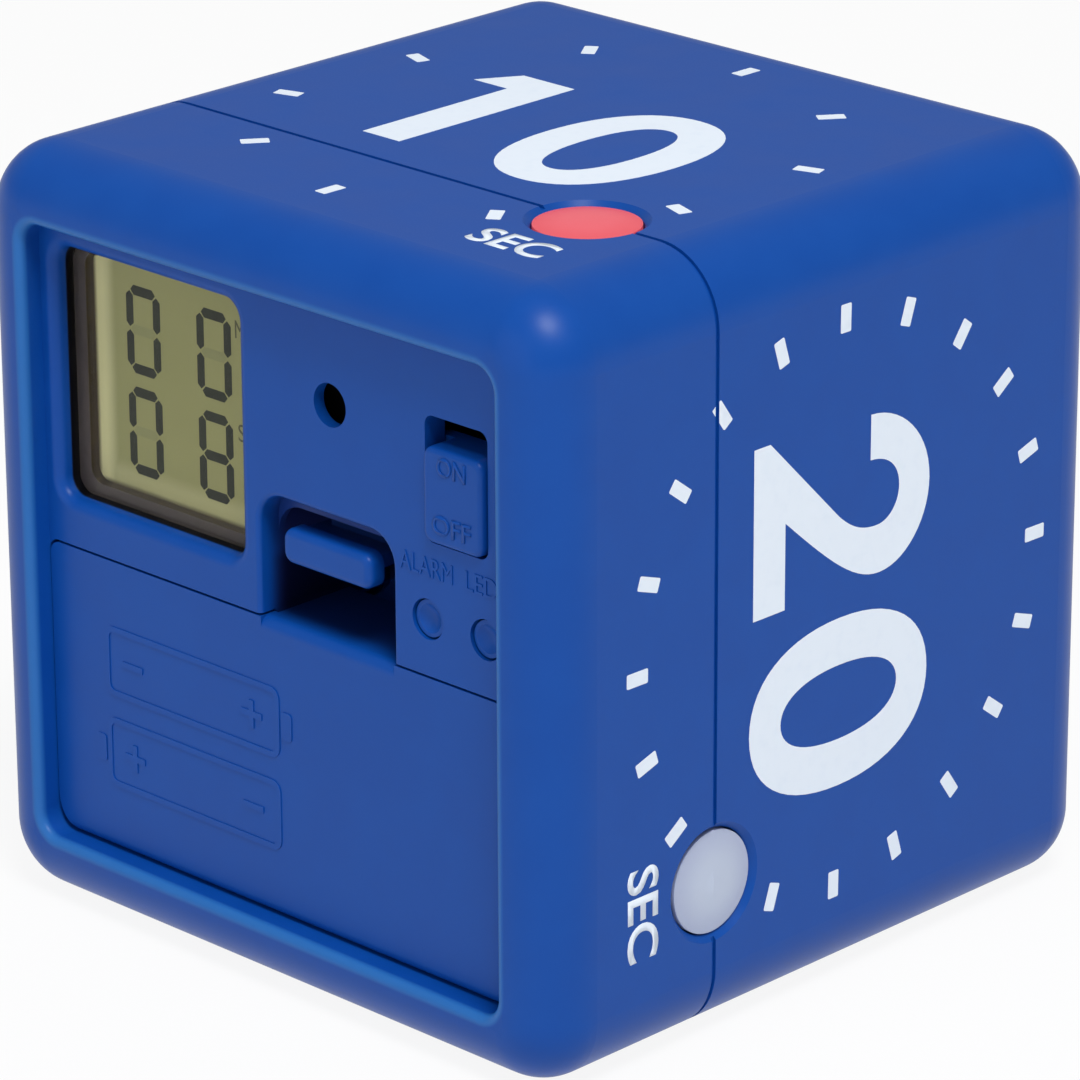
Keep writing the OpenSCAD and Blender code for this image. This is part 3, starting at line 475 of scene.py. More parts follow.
@dataclass(frozen=True)
class GasketFoam(MouldedPlastic):
    """Brown foam gasket, with painted light: its face is paler than its cut edge."""

    roughness: float = 0.5
    # Painted light: the face colour is paler to make up for light that hardly reaches the face.
    face: Color = (0.15, 0.125, 0.10)
    face_y: float = -24.9
    cut: Point = (0.02, 0.1)

    def tone(self, made: NodeFinish, patch: Wire) -> Wire:
        """Gives the foam's colour: the finish's colour on its cut edge and the paler painted-light colour on
        its face.
        """
        cut = made.step(made.axes()[1] / MM - self.face_y, *self.cut)
        return made.blend(cut, self.face, super().tone(made, patch))


@dataclass(frozen=True)
class PrintInk(Finish):
    """Pad-printed ink, slightly uneven in its cover."""

    specular: float = 0.3
    change: Point = (0.45, 0.85)
    patch: Pattern = Pattern(0.9, 3.0)
    grain: Pattern = Pattern(0.12, 1.0, spread=0.12, depth=0.0015)


@dataclass(frozen=True)
class DisplayMark(Finish):
    """Darkened liquid crystal of one set of display marks."""

    roughness: float = 0.4
    specular: float = 0.05
    patch: Pattern = Pattern(1.4)
    grain: Pattern = Pattern(1.4, spread=0.1)


@dataclass(frozen=True)
class DisplayGlass(Finish):
    """Reflective olive display glass: painted light at its left and lower edge, painted shade behind its
    gasket.

    Outwards from the window's side, glow and the shade span bound the painted light and painted shade.
    """

    roughness: float = 0.42
    specular: float = 0.05
    patch: Pattern = Pattern(9.0)
    grain: Pattern = Pattern(0.08, 1.0, spread=0.1, depth=0.001)
    # Painted light: a cream edge on the left and lower sides only; painted shade: dark all round behind the
    # gasket.
    edge: Color = (0.92, 0.89, 0.48)
    gasket_shade: Color = (0.16, 0.13, 0.06)
    glow: Point = (-2.5, -0.9)
    below_share: float = 0.4
    gasket_shade_span: Point = (-0.45, 0.05)

    def tone(self, made: NodeFinish, patch: Wire) -> Wire:
        """Gives the glass's colour, with its painted light and its painted shade at the edges.

        Args:
            made: The material under construction.
            patch: The pattern of its colour patches.

        Returns:
            The colour.
        """
        x, _, z = made.axes()
        across, along = x / MM - WINDOW[0], z / MM - WINDOW[1]
        left, below = (made.step(-WINDOW_HALF - way, *self.glow) for way in (across, along))
        # Painted light: paler towards the left and lower edge.
        pale = made.blend(left.larger(below * self.below_share), super().tone(made, patch), self.edge)
        inset = abs(across).larger(abs(along)) - WINDOW_HALF
        # Painted shade: dark where the gasket overlaps the glass.
        return made.blend(made.step(inset, *self.gasket_shade_span), pale, self.gasket_shade)


@dataclass(frozen=True)
class MetalFinish(Finish):
    """Plated or rolled metal with drawing lines and dull spots."""

    roughness: float = 0.28
    metallic: float = 1.0
    change: Point = (0.4, 0.75)
    patch: Pattern = Pattern(2.5, 3.0, spread=0.1)
    grain: Pattern = Pattern(0.3, 3.0, spread=0.2, depth=0.002)


@dataclass(frozen=True)
class ClearMoulding:
    """Clear moulded window plastic, polished, with faint flow waves."""

    name: str
    color: Color = (0.97, 0.97, 0.955)
    ior: float = 1.35
    specular: float = 0.2
    shine: Color = (0.05, 0.05, 0.05)
    polish: float = 0.02
    wave: Pattern = Pattern(7.0, 1.0, spread=0.03)

    def material(self) -> bpy.types.Material:
        """Builds the material."""
        made = NodeFinish(self.name)
        made.surface(self.color, self.polish + made.noise(self.wave) * self.wave.spread, self.specular)
        made.set({"Transmission Weight": 1.0, "IOR": self.ior, "Specular Tint": self.shine})
        return made.material


@dataclass(frozen=True)
class LampMoulding:
    """Milky lamp lens, which can glow from the chip behind it.

    From its middle to its radius, its colours change over fade. Milk says how it scatters light inside.
    """

    name: str
    color: Color
    rim: Color
    face: Facing
    glow: Color = (0.0, 0.0, 0.0)
    glow_rim: Color = (0.0, 0.0, 0.0)
    strength: float = 0.0
    radius: float = 3.95
    fade: Point = (0.35, 1.0)
    roughness: float = 0.34
    specular: float = 0.35
    cloud: Pattern = Pattern(1.6, spread=0.1)
    grain: Pattern = Pattern(0.14, 1.0, depth=0.0015)
    milk: float = 0.25
    milk_radius: Triple = (1.0, 0.9, 0.9)
    milk_depth: float = 1.2

    def material(self) -> bpy.types.Material:
        """Builds the material."""
        made = NodeFinish(self.name)
        right, up, _ = (Vector(direction) for direction in self.face.value)
        middle = (right * LAMP[0] + up * LAMP[1] + Vector((0, 0, MIDDLE))) * MM
        away = made.vector("SUBTRACT", {0: made.place(), 1: tuple(middle)})
        mask = tuple(abs(right[i]) + abs(up[i]) for i in range(3))
        reach = made.vector("LENGTH", {0: made.vector("MULTIPLY", {0: away, 1: mask})}, "Value")
        out = made.step(reach / (self.radius * MM), *self.fade)
        rough = made.varied(self.roughness, (made.noise(self.cloud), self.cloud.spread))
        made.surface(made.blend(out, self.color, self.rim), rough, self.specular)
        made.set({"Subsurface Weight": self.milk, "Subsurface Radius": self.milk_radius})
        made.set({"Subsurface Scale": self.milk_depth * MM})
        if self.strength:
            made.set({"Emission Color": made.blend(out, self.glow, self.glow_rim)})
            made.set({"Emission Strength": self.strength})
        made.bump(made.noise(self.grain), self.grain.depth)
        return made.material


@dataclass(frozen=True)
class BoardLaminate:
    """Circuit board: solder mask over a weave, with darker tracks.

    The tracks' rows and bends are counted in pitches, and their sides in shares of a pitch.
    """

    name: str
    mask: Color
    track: Color
    pitch: float = 1.27
    rows: float = 3.0
    bends: float = 4.0
    bend: Pattern = Pattern(9.0, 0.0)
    lane: Point = (0.3, 0.34)
    cross: Point = (0.1, 0.12)
    track_share: float = 0.8
    roughness: float = 0.36
    specular: float = 0.45
    weave: Pattern = Pattern(0.3, spread=0.14, depth=0.02)
    relief: Point = (0.7, 0.3)
    relief_strength: float = 0.6

    def material(self) -> bpy.types.Material:
        """Builds the material."""
        made = NodeFinish(self.name)
        x, _, z = made.axes()
        pitch, row = self.pitch * MM, self.rows * self.pitch * MM
        bend = (made.noise(self.bend) - 0.5) * (self.bends * pitch)
        lane = abs((x + bend) % pitch - pitch / 2) / pitch
        cross = abs((z - bend) % row - row / 2) / row
        tracks = made.step(lane, *self.lane) * made.step(cross, *self.cross)
        weave = made.noise(self.weave)
        rough = made.varied(self.roughness, (weave, self.weave.spread))
        made.surface(made.blend(tracks * self.track_share, self.mask, self.track), rough, self.specular)
        height = tracks * self.relief[0] + weave * self.relief[1]
        made.bump(height, self.weave.depth, self.relief_strength)
        return made.material


@dataclass(frozen=True)
class RubberLayers:
    """Connector rubber: dark and pale layers along its length."""

    name: str
    pale: Color
    dark: Color
    pitch: float = 0.5
    layer: Point = (0.2, 0.3)
    roughness: float = 0.7
    grain: Pattern = Pattern(0.2, spread=0.2, depth=0.004)

    def material(self) -> bpy.types.Material:
        """Builds the material."""
        made = NodeFinish(self.name)
        pitch = self.pitch * MM
        layer = made.step(abs(made.axes()[0] % pitch - pitch / 2) / pitch, *self.layer)
        grain = made.noise(self.grain)
        rough = made.varied(self.roughness, (grain, self.grain.spread))
        made.surface(made.blend(layer, self.pale, self.dark), rough)
        made.bump(grain, self.grain.depth)
        return made.material


@dataclass(frozen=True)
class CellSleeve:
    """Printed sleeve of a dry cell: a dark body, a bright band at its plus end and bare metal ends.

    Going towards the plus end, starts says where the band, the bare cap and the sleeve's body start.
    """

    name: str
    plus_side: int
    body: Color = (0.018, 0.019, 0.021)
    band: Color = (0.55, 0.29, 0.13)
    metal: Color = (0.7, 0.7, 0.69)
    starts: Triple = (7.0, 20.55, -21.4)
    soft: float = 0.15
    band_metal: float = 0.75
    roughness: float = 0.26
    scuff: Pattern = Pattern(0.5, 4.0, spread=0.16, depth=0.004, stretch=(0.25, 1, 1))

    def material(self) -> bpy.types.Material:
        """Builds the material."""
        made = NodeFinish(self.name)
        along = made.axes()[0] * (self.plus_side / MM)
        banded, cap, body = (made.step(along, start, start + self.soft) for start in self.starts)
        bare = cap.larger(1 - body)
        scuff = made.noise(self.scuff)
        foil = made.blend(banded, self.body, self.band)
        rough = made.varied(self.roughness, (scuff, self.scuff.spread))
        metallic = bare.larger(banded * self.band_metal)
        made.surface(made.blend(bare, foil, self.metal), rough, metallic=metallic)
        made.bump(scuff, self.scuff.depth)
        return made.material


@dataclass(frozen=True)
class Finishes:
    """Every finish of the timer, built once."""

    shell: bpy.types.Material
    front: bpy.types.Material
    door: bpy.types.Material
    ink: bpy.types.Material
    window: bpy.types.Material
    glass: bpy.types.Material
    segment: bpy.types.Material
    unit: bpy.types.Material
    ghost: bpy.types.Material
    white: bpy.types.Material
    rubber: bpy.types.Material
    gasket: bpy.types.Material
    border: bpy.types.Material
    board: bpy.types.Material
    brass: bpy.types.Material
    black: bpy.types.Material
    steel: bpy.types.Material
    spring: bpy.types.Material

    @classmethod
    def mixed(cls) -> "Finishes":
        """Builds all the finishes."""
        blue = (0.0025, 0.064, 0.338)
        cloud = (0.0031, 0.068, 0.350)
        # Painted shade: near-black throat walls by the display, a darker latch notch, darkest below its bar,
        # and a darker door ledge.
        frame = ShadeWell(WINDOW, half=(9.9, 9.9), start=-26.85, fade=0.2, color=(0.003, 0.003, 0.005))
        notch_shade = ShadeWell((5.65, 33.6), half=(7.0, 5.25), start=-27.3, fade=2.3, color=(0.014, 0.024, 0.13))
        deep = replace(notch_shade, middle=(5.65, 31.1), half=(7.0, 1.6), color=(0.004, 0.007, 0.042), soft=1.3)
        ledge_shade = replace(notch_shade, color=(0.004, 0.025, 0.14))
        recipes = {
            "shell": MouldedPlastic("blue_shell", blue, cloud),
            "front": FrontPlastic("blue_front", blue, cloud, shade_wells=(frame, notch_shade, deep)),
            "door": FrontPlastic("blue_door", blue, cloud, shade_wells=(ledge_shade,)),
            "ink": PrintInk("white_ink", (0.80, 0.87, 0.96), (0.77, 0.845, 0.945)),
            "window": ClearMoulding("clear_moulding"),
            "glass": DisplayGlass("display_glass", (0.42, 0.42, 0.17), (0.44, 0.435, 0.18)),
            "segment": DisplayMark("display_dark", (0.021, 0.029, 0.011), (0.015, 0.022, 0.008)),
            "unit": DisplayMark("display_units", (0.15, 0.155, 0.07), (0.13, 0.135, 0.06)),
            "ghost": DisplayMark("display_faint", (0.375, 0.38, 0.165), (0.36, 0.365, 0.158)),
            "white": MouldedPlastic("white_moulding", (0.72, 0.72, 0.69), (0.66, 0.66, 0.64), roughness=0.5),
            "rubber": RubberLayers("layered_rubber", (0.55, 0.5, 0.5), (0.03, 0.03, 0.03)),
            "gasket": GasketFoam("brown_gasket", (0.082, 0.054, 0.02), (0.095, 0.064, 0.026)),
            "border": PrintInk("brown_border", (0.165, 0.14, 0.132), (0.145, 0.122, 0.112)),
            "board": BoardLaminate("board_laminate", (0.015, 0.11, 0.035), (0.03, 0.17, 0.05)),
            "brass": MetalFinish("pin_brass", (0.78, 0.57, 0.22), (0.6, 0.42, 0.17)),
            "black": MouldedPlastic("black_moulding", (0.012, 0.012, 0.013), (0.02, 0.02, 0.021), 0.38),
            "steel": MetalFinish("plated_steel", (0.66, 0.66, 0.65), (0.5, 0.5, 0.5)),
            "spring": MetalFinish("spring_wire", (0.7, 0.69, 0.67), (0.52, 0.51, 0.5), roughness=0.22),
        }
        return cls(**{key: recipe.material() for key, recipe in recipes.items()})


@dataclass(frozen=True)
class Knot:
    """A point of an outline, in millimetres, with its two handles measured from it."""

    at: Point
    into: Point = (0.0, 0.0)
    out: Point = (0.0, 0.0)


Outline = Sequence[Knot]


def corner(x: float, y: float) -> Knot:
    """Gives a sharp point of an outline."""
    return Knot((x, y))


def curve(x: float, y: float, dx: float, dy: float) -> Knot:
    """Gives a smooth point with two equal handles along a direction."""
    return Knot((x, y), (-dx, -dy), (dx, dy))


def oval(x: float, y: float, half_w: float, half_h: float, pull: float = QUARTER) -> list[Knot]:
    """Gives an oval outline.

    Args:
        x: Its middle, sideways.
        y: Its middle, upwards.
        half_w: Half its width.
        half_h: Half its height.
        pull: The handles' share of a half; more makes it squarer.

    Returns:
        Its four points.
    """
    return [
        curve(x + half_w, y, 0, pull * half_h),
        curve(x, y + half_h, -pull * half_w, 0),
        curve(x - half_w, y, 0, -pull * half_h),
        curve(x, y - half_h, pull * half_w, 0),
    ]


def bar(x0: float, x1: float, y0: float, y1: float) -> list[Knot]:
    """Gives an upright rectangle between two corners."""
    return [corner(x0, y0), corner(x1, y0), corner(x1, y1), corner(x0, y1)]


def soft_bar(x0: float, x1: float, y0: float, y1: float, radius: float) -> list[Knot]:
    """Gives a rectangle with rounded corners.

    Args:
        x0: Left side.
        x1: Right side.
        y0: Lower side.
        y1: Upper side.
        radius: Radius of its corners.

    Returns:
        Its eight points.
    """
    pull = QUARTER * radius
    return [
        Knot((x0 + radius, y0), into=(-pull, 0)),
        Knot((x1 - radius, y0), out=(pull, 0)),
        Knot((x1, y0 + radius), into=(0, -pull)),
        Knot((x1, y1 - radius), out=(0, pull)),
        Knot((x1 - radius, y1), into=(pull, 0)),
        Knot((x0 + radius, y1), out=(-pull, 0)),
        Knot((x0, y1 - radius), into=(0, pull)),
        Knot((x0, y0 + radius), out=(0, -pull)),
    ]


def turned(outline: Outline, angle: float, shift: Point) -> list[Knot]:
    """Turns an outline about its origin and then shifts it.

    Args:
        outline: The outline.
        angle: The turn, clockwise, in radians.
        shift: The shift.

    Returns:
        The moved outline.
    """
    turn = Matrix.Rotation(-angle, 2)

    def swing(point: Point) -> Vector:
        """Turns one point."""
        return turn @ Vector(point)

    return [
        Knot(tuple(swing(k.at) + Vector(shift)), tuple(swing(k.into)), tuple(swing(k.out))) for k in outline
    ]


class Drawing:
    """A flat drawing in millimetres, which becomes a thin plate on the timer."""

    LETTER_STEPS = 6
    WELD = 0.0005

    def __init__(self) -> None:
        """Starts an empty drawing."""
        self.shape = bmesh.new()

    def _take(self, data: bpy.types.Curve, move: Matrix) -> None:
        """Makes a flat curve a mesh and adds it to the drawing.

        Args:
            data: The curve or text.
            move: Its move within the drawing.
        """
        holder = bpy.data.objects.new("drawing", data)
        bpy.context.scene.collection.objects.link(holder)
        flat = bpy.data.meshes.new_from_object(holder.evaluated_get(bpy.context.evaluated_depsgraph_get()))
        flat.transform(move)
        self.shape.from_mesh(flat)
        bpy.data.objects.remove(holder)
        bpy.data.curves.remove(data)
        bpy.data.meshes.remove(flat)

    def fill(self, outlines: Sequence[Outline], shift: Point = (0.0, 0.0), steps: int = 14) -> None:
        """Adds a filled shape; an outline inside another is a hole.

        Args:
            outlines: The shape's outlines.
            shift: Where the shape's origin goes.
            steps: Steps of each curved stretch.
        """
        data = bpy.data.curves.new("outline", "CURVE")
        data.dimensions = "2D"
        data.fill_mode = "BOTH"
        data.resolution_u = steps
        for outline in outlines:
            spline = data.splines.new("BEZIER")
            spline.bezier_points.add(len(outline) - 1)
            spline.use_cyclic_u = True
            for point, knot in zip(spline.bezier_points, outline):
                at = Vector((*knot.at, 0))
                point.handle_left_type = point.handle_right_type = "FREE"
                point.co = at
                point.handle_left = at + Vector((*knot.into, 0))
                point.handle_right = at + Vector((*knot.out, 0))
        self._take(data, Matrix.Translation((*shift, 0)))

    def write(self, words: str, middle: Point, size: Point, bold: float = 0.0) -> None:
        """Adds lettering, fitted to a box.

        Args:
            words: The letters.
            middle: The middle of the box.
            size: The box's width and height.
            bold: How far the letters are thickened, for letters 1 mm high.
        """
        data = bpy.data.curves.new("lettering", "FONT")
        data.body = words
        data.offset = bold
        data.resolution_u = self.LETTER_STEPS
        lettering = Drawing()
        lettering._take(data, Matrix.Identity(4))
        low, high = lettering.reach()
        scale = Matrix.Diagonal((size[0] / (high.x - low.x), size[1] / (high.y - low.y), 1, 1))
        centre = Matrix.Translation(-(low + high) / 2)
        move = Matrix.Translation((*middle, 0)) @ scale @ centre
        bmesh.ops.transform(lettering.shape, matrix=move, verts=lettering.shape.verts)
        flat = bpy.data.meshes.new("lettering")
        lettering.shape.to_mesh(flat)
        self.shape.from_mesh(flat)
        lettering.shape.free()
        bpy.data.meshes.remove(flat)

    def reach(self) -> tuple[Vector, Vector]:
        """Gives the drawing's lowest and highest corners."""
        places = [vert.co for vert in self.shape.verts]
        low = Vector(min(place[i] for place in places) for i in range(3))
        high = Vector(max(place[i] for place in places) for i in range(3))
        return low, high

    def clear_band(self, low: float, high: float) -> None:
        """Leaves a level strip of the drawing empty, such as a groove that ink doesn't cross.

        Args:
            low: The strip's lower side.
            high: Its upper side.
        """
        for level in (low, high):
            everything = self.shape.verts[:] + self.shape.edges[:] + self.shape.faces[:]
            bmesh.ops.bisect_plane(self.shape, geom=everything, plane_co=(0, level, 0), plane_no=(0, 1, 0))
        lost = [face for face in self.shape.faces if low < face.calc_center_median().y < high]
        bmesh.ops.delete(self.shape, geom=lost, context="FACES")

    def piece(
        self, name: str, facing: Facing, origin: Triple, height: float, material: bpy.types.Material
    ) -> bpy.types.Object:
        """Makes the drawing a plate that stands on a surface.

        Args:
            name: The piece's name.
            facing: The way it faces.
            origin: Where the drawing's origin goes, in millimetres.
            height: The plate's thickness, in millimetres.
            material: Its material.

        Returns:
            The finished piece.
        """
        bmesh.ops.remove_doubles(self.shape, verts=self.shape.verts, dist=self.WELD)
        bmesh.ops.dissolve_degenerate(self.shape, edges=self.shape.edges, dist=self.WELD)
        raised = bmesh.ops.extrude_face_region(self.shape, geom=self.shape.faces[:])
        top = [item for item in raised["geom"] if isinstance(item, bmesh.types.BMVert)]
        bmesh.ops.translate(self.shape, verts=top, vec=(0, 0, height))
        bmesh.ops.recalc_face_normals(self.shape, faces=self.shape.faces)
        bmesh.ops.transform(self.shape, matrix=facing.place(origin), verts=self.shape.verts)
        return finished(name, self.shape, material)


def finished(name: str, shape: bmesh.types.BMesh, material: bpy.types.Material) -> bpy.types.Object:
    """Makes a bmesh an object at the origin.

    Args:
        name: The object's name.
        shape: Its mesh, which is freed.
        material: Its material.

    Returns:
        The object.
    """
    data = bpy.data.meshes.new(name)
    shape.to_mesh(data)
    shape.free()
    data.materials.append(material)
    made = bpy.data.objects.new(name, data)
    bpy.context.scene.collection.objects.link(made)
    return made


def fasten(piece: bpy.types.Object, body: str) -> None:
    """Lets a piece ride on a body.

    Args:
        piece: The piece.
        body: The body that carries it.
    """
    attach(piece, body)
    LOG.info("%s rides on %s, %d faces", piece.name, body, len(piece.data.polygons))


@dataclass
class Numerals:
    """The timer's large figures, each drawn where a two-figure number has it."""

    def one(self) -> list[Outline]:
        """Gives the figure 1."""
        return [
            [
                corner(-13.15, 6.3),
                corner(-11.1, 9.65),
                corner(-5.75, 9.65),
                corner(-5.75, -8.95),
                corner(-9.6, -8.95),
                corner(-9.6, 6.3),
            ]
        ]

    def two(self) -> list[Outline]:
        """Gives the figure 2."""
        return [
            [
                corner(-14.7, -9.1),
                corner(-1.65, -9.1),
                corner(-1.65, -5.75),
                Knot((-8.3, -5.75), out=(4.4, 5.0)),
                Knot((-1.75, 4.5), into=(0, -2.6), out=(0, 3.0)),
                Knot((-7.7, 9.95), into=(3.2, 0), out=(-3.6, 0)),
                Knot((-14.2, 3.4), into=(0.1, 3.4)),
                Knot((-10.7, 3.4), out=(0.05, 1.9)),
                Knot((-8.0, 6.6), into=(-1.6, 0), out=(1.4, 0)),
                Knot((-5.5, 4.2), into=(0, 1.35), out=(0, -1.7)),
                Knot((-7.3, 0.0), into=(1.2, 1.35)),
                corner(-14.7, -7.4),
            ]
        ]

    def five(self) -> list[Outline]:
        """Gives the figure 5."""
        return [
            [
                corner(2.3, 9.65),
                corner(12.4, 9.65),
                corner(12.4, 6.3),
                corner(5.6, 6.3),
                Knot((5.25, 2.4), out=(0.6, 0.35)),
                Knot((7.4, 2.95), into=(-0.9, 0), out=(3.3, 0)),
                Knot((13.4, -3.1), into=(0, 3.3), out=(0, -3.5)),
                Knot((6.8, -9.25), into=(3.6, 0), out=(-3.3, 0)),
                Knot((0.45, -4.6), into=(0.5, -2.7)),
                Knot((4.05, -4.9), out=(0.3, -0.9)),
                Knot((6.8, -6.1), into=(-1.5, 0), out=(1.7, 0)),
                Knot((9.7, -3.1), into=(0, -1.7), out=(0, 1.6)),
                Knot((6.9, -0.2), into=(1.6, 0), out=(-1.2, 0)),
                Knot((4.7, -1.15), into=(0.6, 0.55)),
                corner(1.55, -0.75),
            ]
        ]

    def nought(self) -> list[Outline]:
        """Gives the figure 0."""
        return [oval(6.95, 0.3, 6.6, 9.72, 0.62), oval(6.95, 0.28, 2.92, 6.35, 0.62)]


@dataclass(frozen=True)
class Ring:
    """Where a face's ring of ticks was printed, and its clockwise turn in degrees.

    The part on the front case is printed by itself, off by front_shift.
    """

    middle: Point
    radius: float
    turn: float
    front_shift: Point


class Minutes(Enum):
    """The four timing faces, each with its minutes, the way it faces and its ring of ticks."""

    TEN = (10, Facing.TOP, Ring((0.01, 0.34), 21.72, 1.3, (-0.4, 0.74)))
    TWENTY = (20, Facing.RIGHT, Ring((-0.29, 0.22), 21.97, 0.73, (-0.24, 0.63)))
    FIFTEEN = (15, Facing.BOTTOM, Ring((-0.2, 0.3), 21.8, 0.0, (0.0, 0.6)))
    FIVE = (5, Facing.LEFT, Ring((-0.2, 0.3), 21.8, 0.0, (0.0, 0.6)))


@dataclass
class Assembly:
    """Pieces of the timer that get some of its finishes."""

    finishes: Finishes


@dataclass
class Printing(Assembly):
    """White printing of the four timing faces: number, tick ring and lamp unit."""

    tick_w: float = 1.1
    tick_len: float = 2.15
    tick_corner: float = 0.12
    tick_steps: int = 3
    lamp_clear: float = 4.6
    unit: str = "SEC"
    unit_at: Point = (17.45, -20.5)
    unit_size: Point = (7.2, 3.2)
    unit_bold: float = 0.02
    seam: float = -13.0
    groove: float = 0.4
    ink: float = 0.02
    after_two: float = 0.28
    alone: float = -6.9
    figures: Numerals = field(default_factory=Numerals)

    def number(self, drawing: Drawing, minutes: int) -> None:
        """Draws the number of a face.

        Args:
            drawing: The face's drawing.
            minutes: The number.
        """
        figures = self.figures
        numbers = {
            10: ((figures.one(), 0.0), (figures.nought(), 0.0)),
            20: ((figures.two(), 0.0), (figures.nought(), self.after_two)),
            15: ((figures.one(), 0.0), (figures.five(), 0.0)),
            5: ((figures.five(), self.alone),),
        }
        for outlines, shift in numbers[minutes]:
            drawing.fill(outlines, (shift, 0.0))

    def ticks(self, drawing: Drawing, count: int, ring: Ring) -> None:
        """Draws the ring of ticks, without the one that the lamp replaces.

        Args:
            drawing: The face's drawing.
            count: The number of ticks.
            ring: The ring's place.
        """
        half_w, half_l = self.tick_w / 2, self.tick_len / 2
        tick = soft_bar(-half_w, half_w, -half_l, half_l, self.tick_corner)
        for step in range(count):
            angle = 2 * math.pi * step / count + math.radians(ring.turn)
            at = Vector(ring.middle) + ring.radius * Vector((math.sin(angle), math.cos(angle)))
            if at.y < self.seam:
                at += Vector(ring.front_shift)
            if math.dist(at, LAMP) > self.lamp_clear:
                drawing.fill([turned(tick, angle, tuple(at))], steps=self.tick_steps)

    def build(self) -> None:
        """Prints the four faces."""
        for face in Minutes:
            minutes, facing, ring = face.value
            drawing = Drawing()
            self.number(drawing, minutes)
            self.ticks(drawing, minutes, ring)
            drawing.write(self.unit, self.unit_at, self.unit_size, self.unit_bold)
            drawing.clear_band(self.seam - self.groove / 2, self.seam + self.groove / 2)
            out = Vector(facing.value[2]) * MIDDLE
            origin = (out.x, out.y, out.z + MIDDLE)
            name = f"printing_{facing.name.lower()}"
            piece = drawing.piece(name, facing, origin, self.ink, self.finishes.ink)
            fasten(piece, "case")


@dataclass
class DisplayFace(Assembly):
    """Marks of the display: two rows of two figures with a unit each, and their faint unused bars."""

    columns: Point = (-16.86, -9.2)
    rows: Point = (46.47, 38.52)
    digit_w: float = 3.7
    digit_h: float = 6.9
    stroke: float = 0.78
    taper: float = 0.85
    gap: float = 0.12
    film: float = 0.012
    lit: tuple[str, str, str, str] = ("abcdef", "abcdef", "abcdef", "abcdefg")
    units: tuple[tuple[str, float], ...] = (("M", 1.0), ("S", 0.75))
    unit_h: float = 1.35
    unit_shift: Point = (0.95, 2.55)

    def bars(self) -> dict[str, Outline]:
        """Gives the seven bars of a figure, about its middle, by letter."""
        half = self.stroke / 2
        w, h = self.digit_w / 2 - half, self.digit_h / 2 - half
        flat = self.bar_outline(2 * w - 2 * self.gap)
        tall = self.bar_outline(h - 2 * self.gap)
        places = {letter: (flat, 0.0, (0, level)) for letter, level in (("a", h), ("g", 0), ("d", -h))}
        for letter, x, z in (("b", w, h / 2), ("c", w, -h / 2), ("e", -w, -h / 2), ("f", -w, h / 2)):
            places[letter] = (tall, math.pi / 2, (x, z))
        return {letter: turned(*places[letter]) for letter in sorted(places)}

    def bar_outline(self, length: float) -> Outline:
        """Gives one level bar with pointed ends.

        Args:
            length: Its length from point to point.

        Returns:
            Its outline.
        """
        end, half = length / 2, self.stroke / 2
        flat = end - half * self.taper
        points = ((-end, 0), (-flat, half), (flat, half), (end, 0), (flat, -half), (-flat, -half))
        return [corner(x, y) for x, y in points]

    def build(self) -> None:
        """Draws the shown and the faint bars and the units on the display glass."""
        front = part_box("lcd_cell")[0].y / MM
        shown, faint, units = Drawing(), Drawing(), Drawing()
        places = [(x, z) for z in self.rows for x in self.columns]
        for place, lit in zip(places, self.lit):
            for letter, outline in self.bars().items():
                (shown if letter in lit else faint).fill([turned(outline, 0.0, place)], steps=1)
        right = self.columns[1] + self.digit_w / 2 + self.unit_shift[0]
        for row, (unit, width) in zip(self.rows, self.units):
            units.write(unit, (right, row + self.unit_shift[1]), (width, self.unit_h))
        for name, drawing, material in (
            ("display_figures", shown, self.finishes.segment),
            ("display_units", units, self.finishes.unit),
            ("display_unused_bars", faint, self.finishes.ghost),
        ):
            piece = drawing.piece(name, Facing.FRONT, (0, front, 0), self.film, material)
            fasten(piece, "case")


@dataclass
class WindowBorder(Assembly):
    """Border printed on the back of the display window, over its gasket."""

    outer: float = 10.3
    outer_corner: float = 1.0
    inner: float = WINDOW_HALF
    inner_corner: float = 1.2
    film: float = 0.02
    steps: int = 8

    def build(self) -> None:
        """Prints the border."""
        x, z = WINDOW
        sides = ((self.outer, self.outer_corner), (self.inner, self.inner_corner))
        border = Drawing()
        border.fill(
            [soft_bar(x - half, x + half, z - half, z + half, radius) for half, radius in sides],
            steps=self.steps,
        )
        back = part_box("display_window")[1].y / MM
        piece = border.piece("window_border", Facing.FRONT, (0, back, 0), self.film, self.finishes.border)
        fasten(piece, "case")


@dataclass(frozen=True)
class Word:
    """A moulded word, with its middle on the panel and its width, in millimetres."""

    letters: str
    at: Point
    width: float


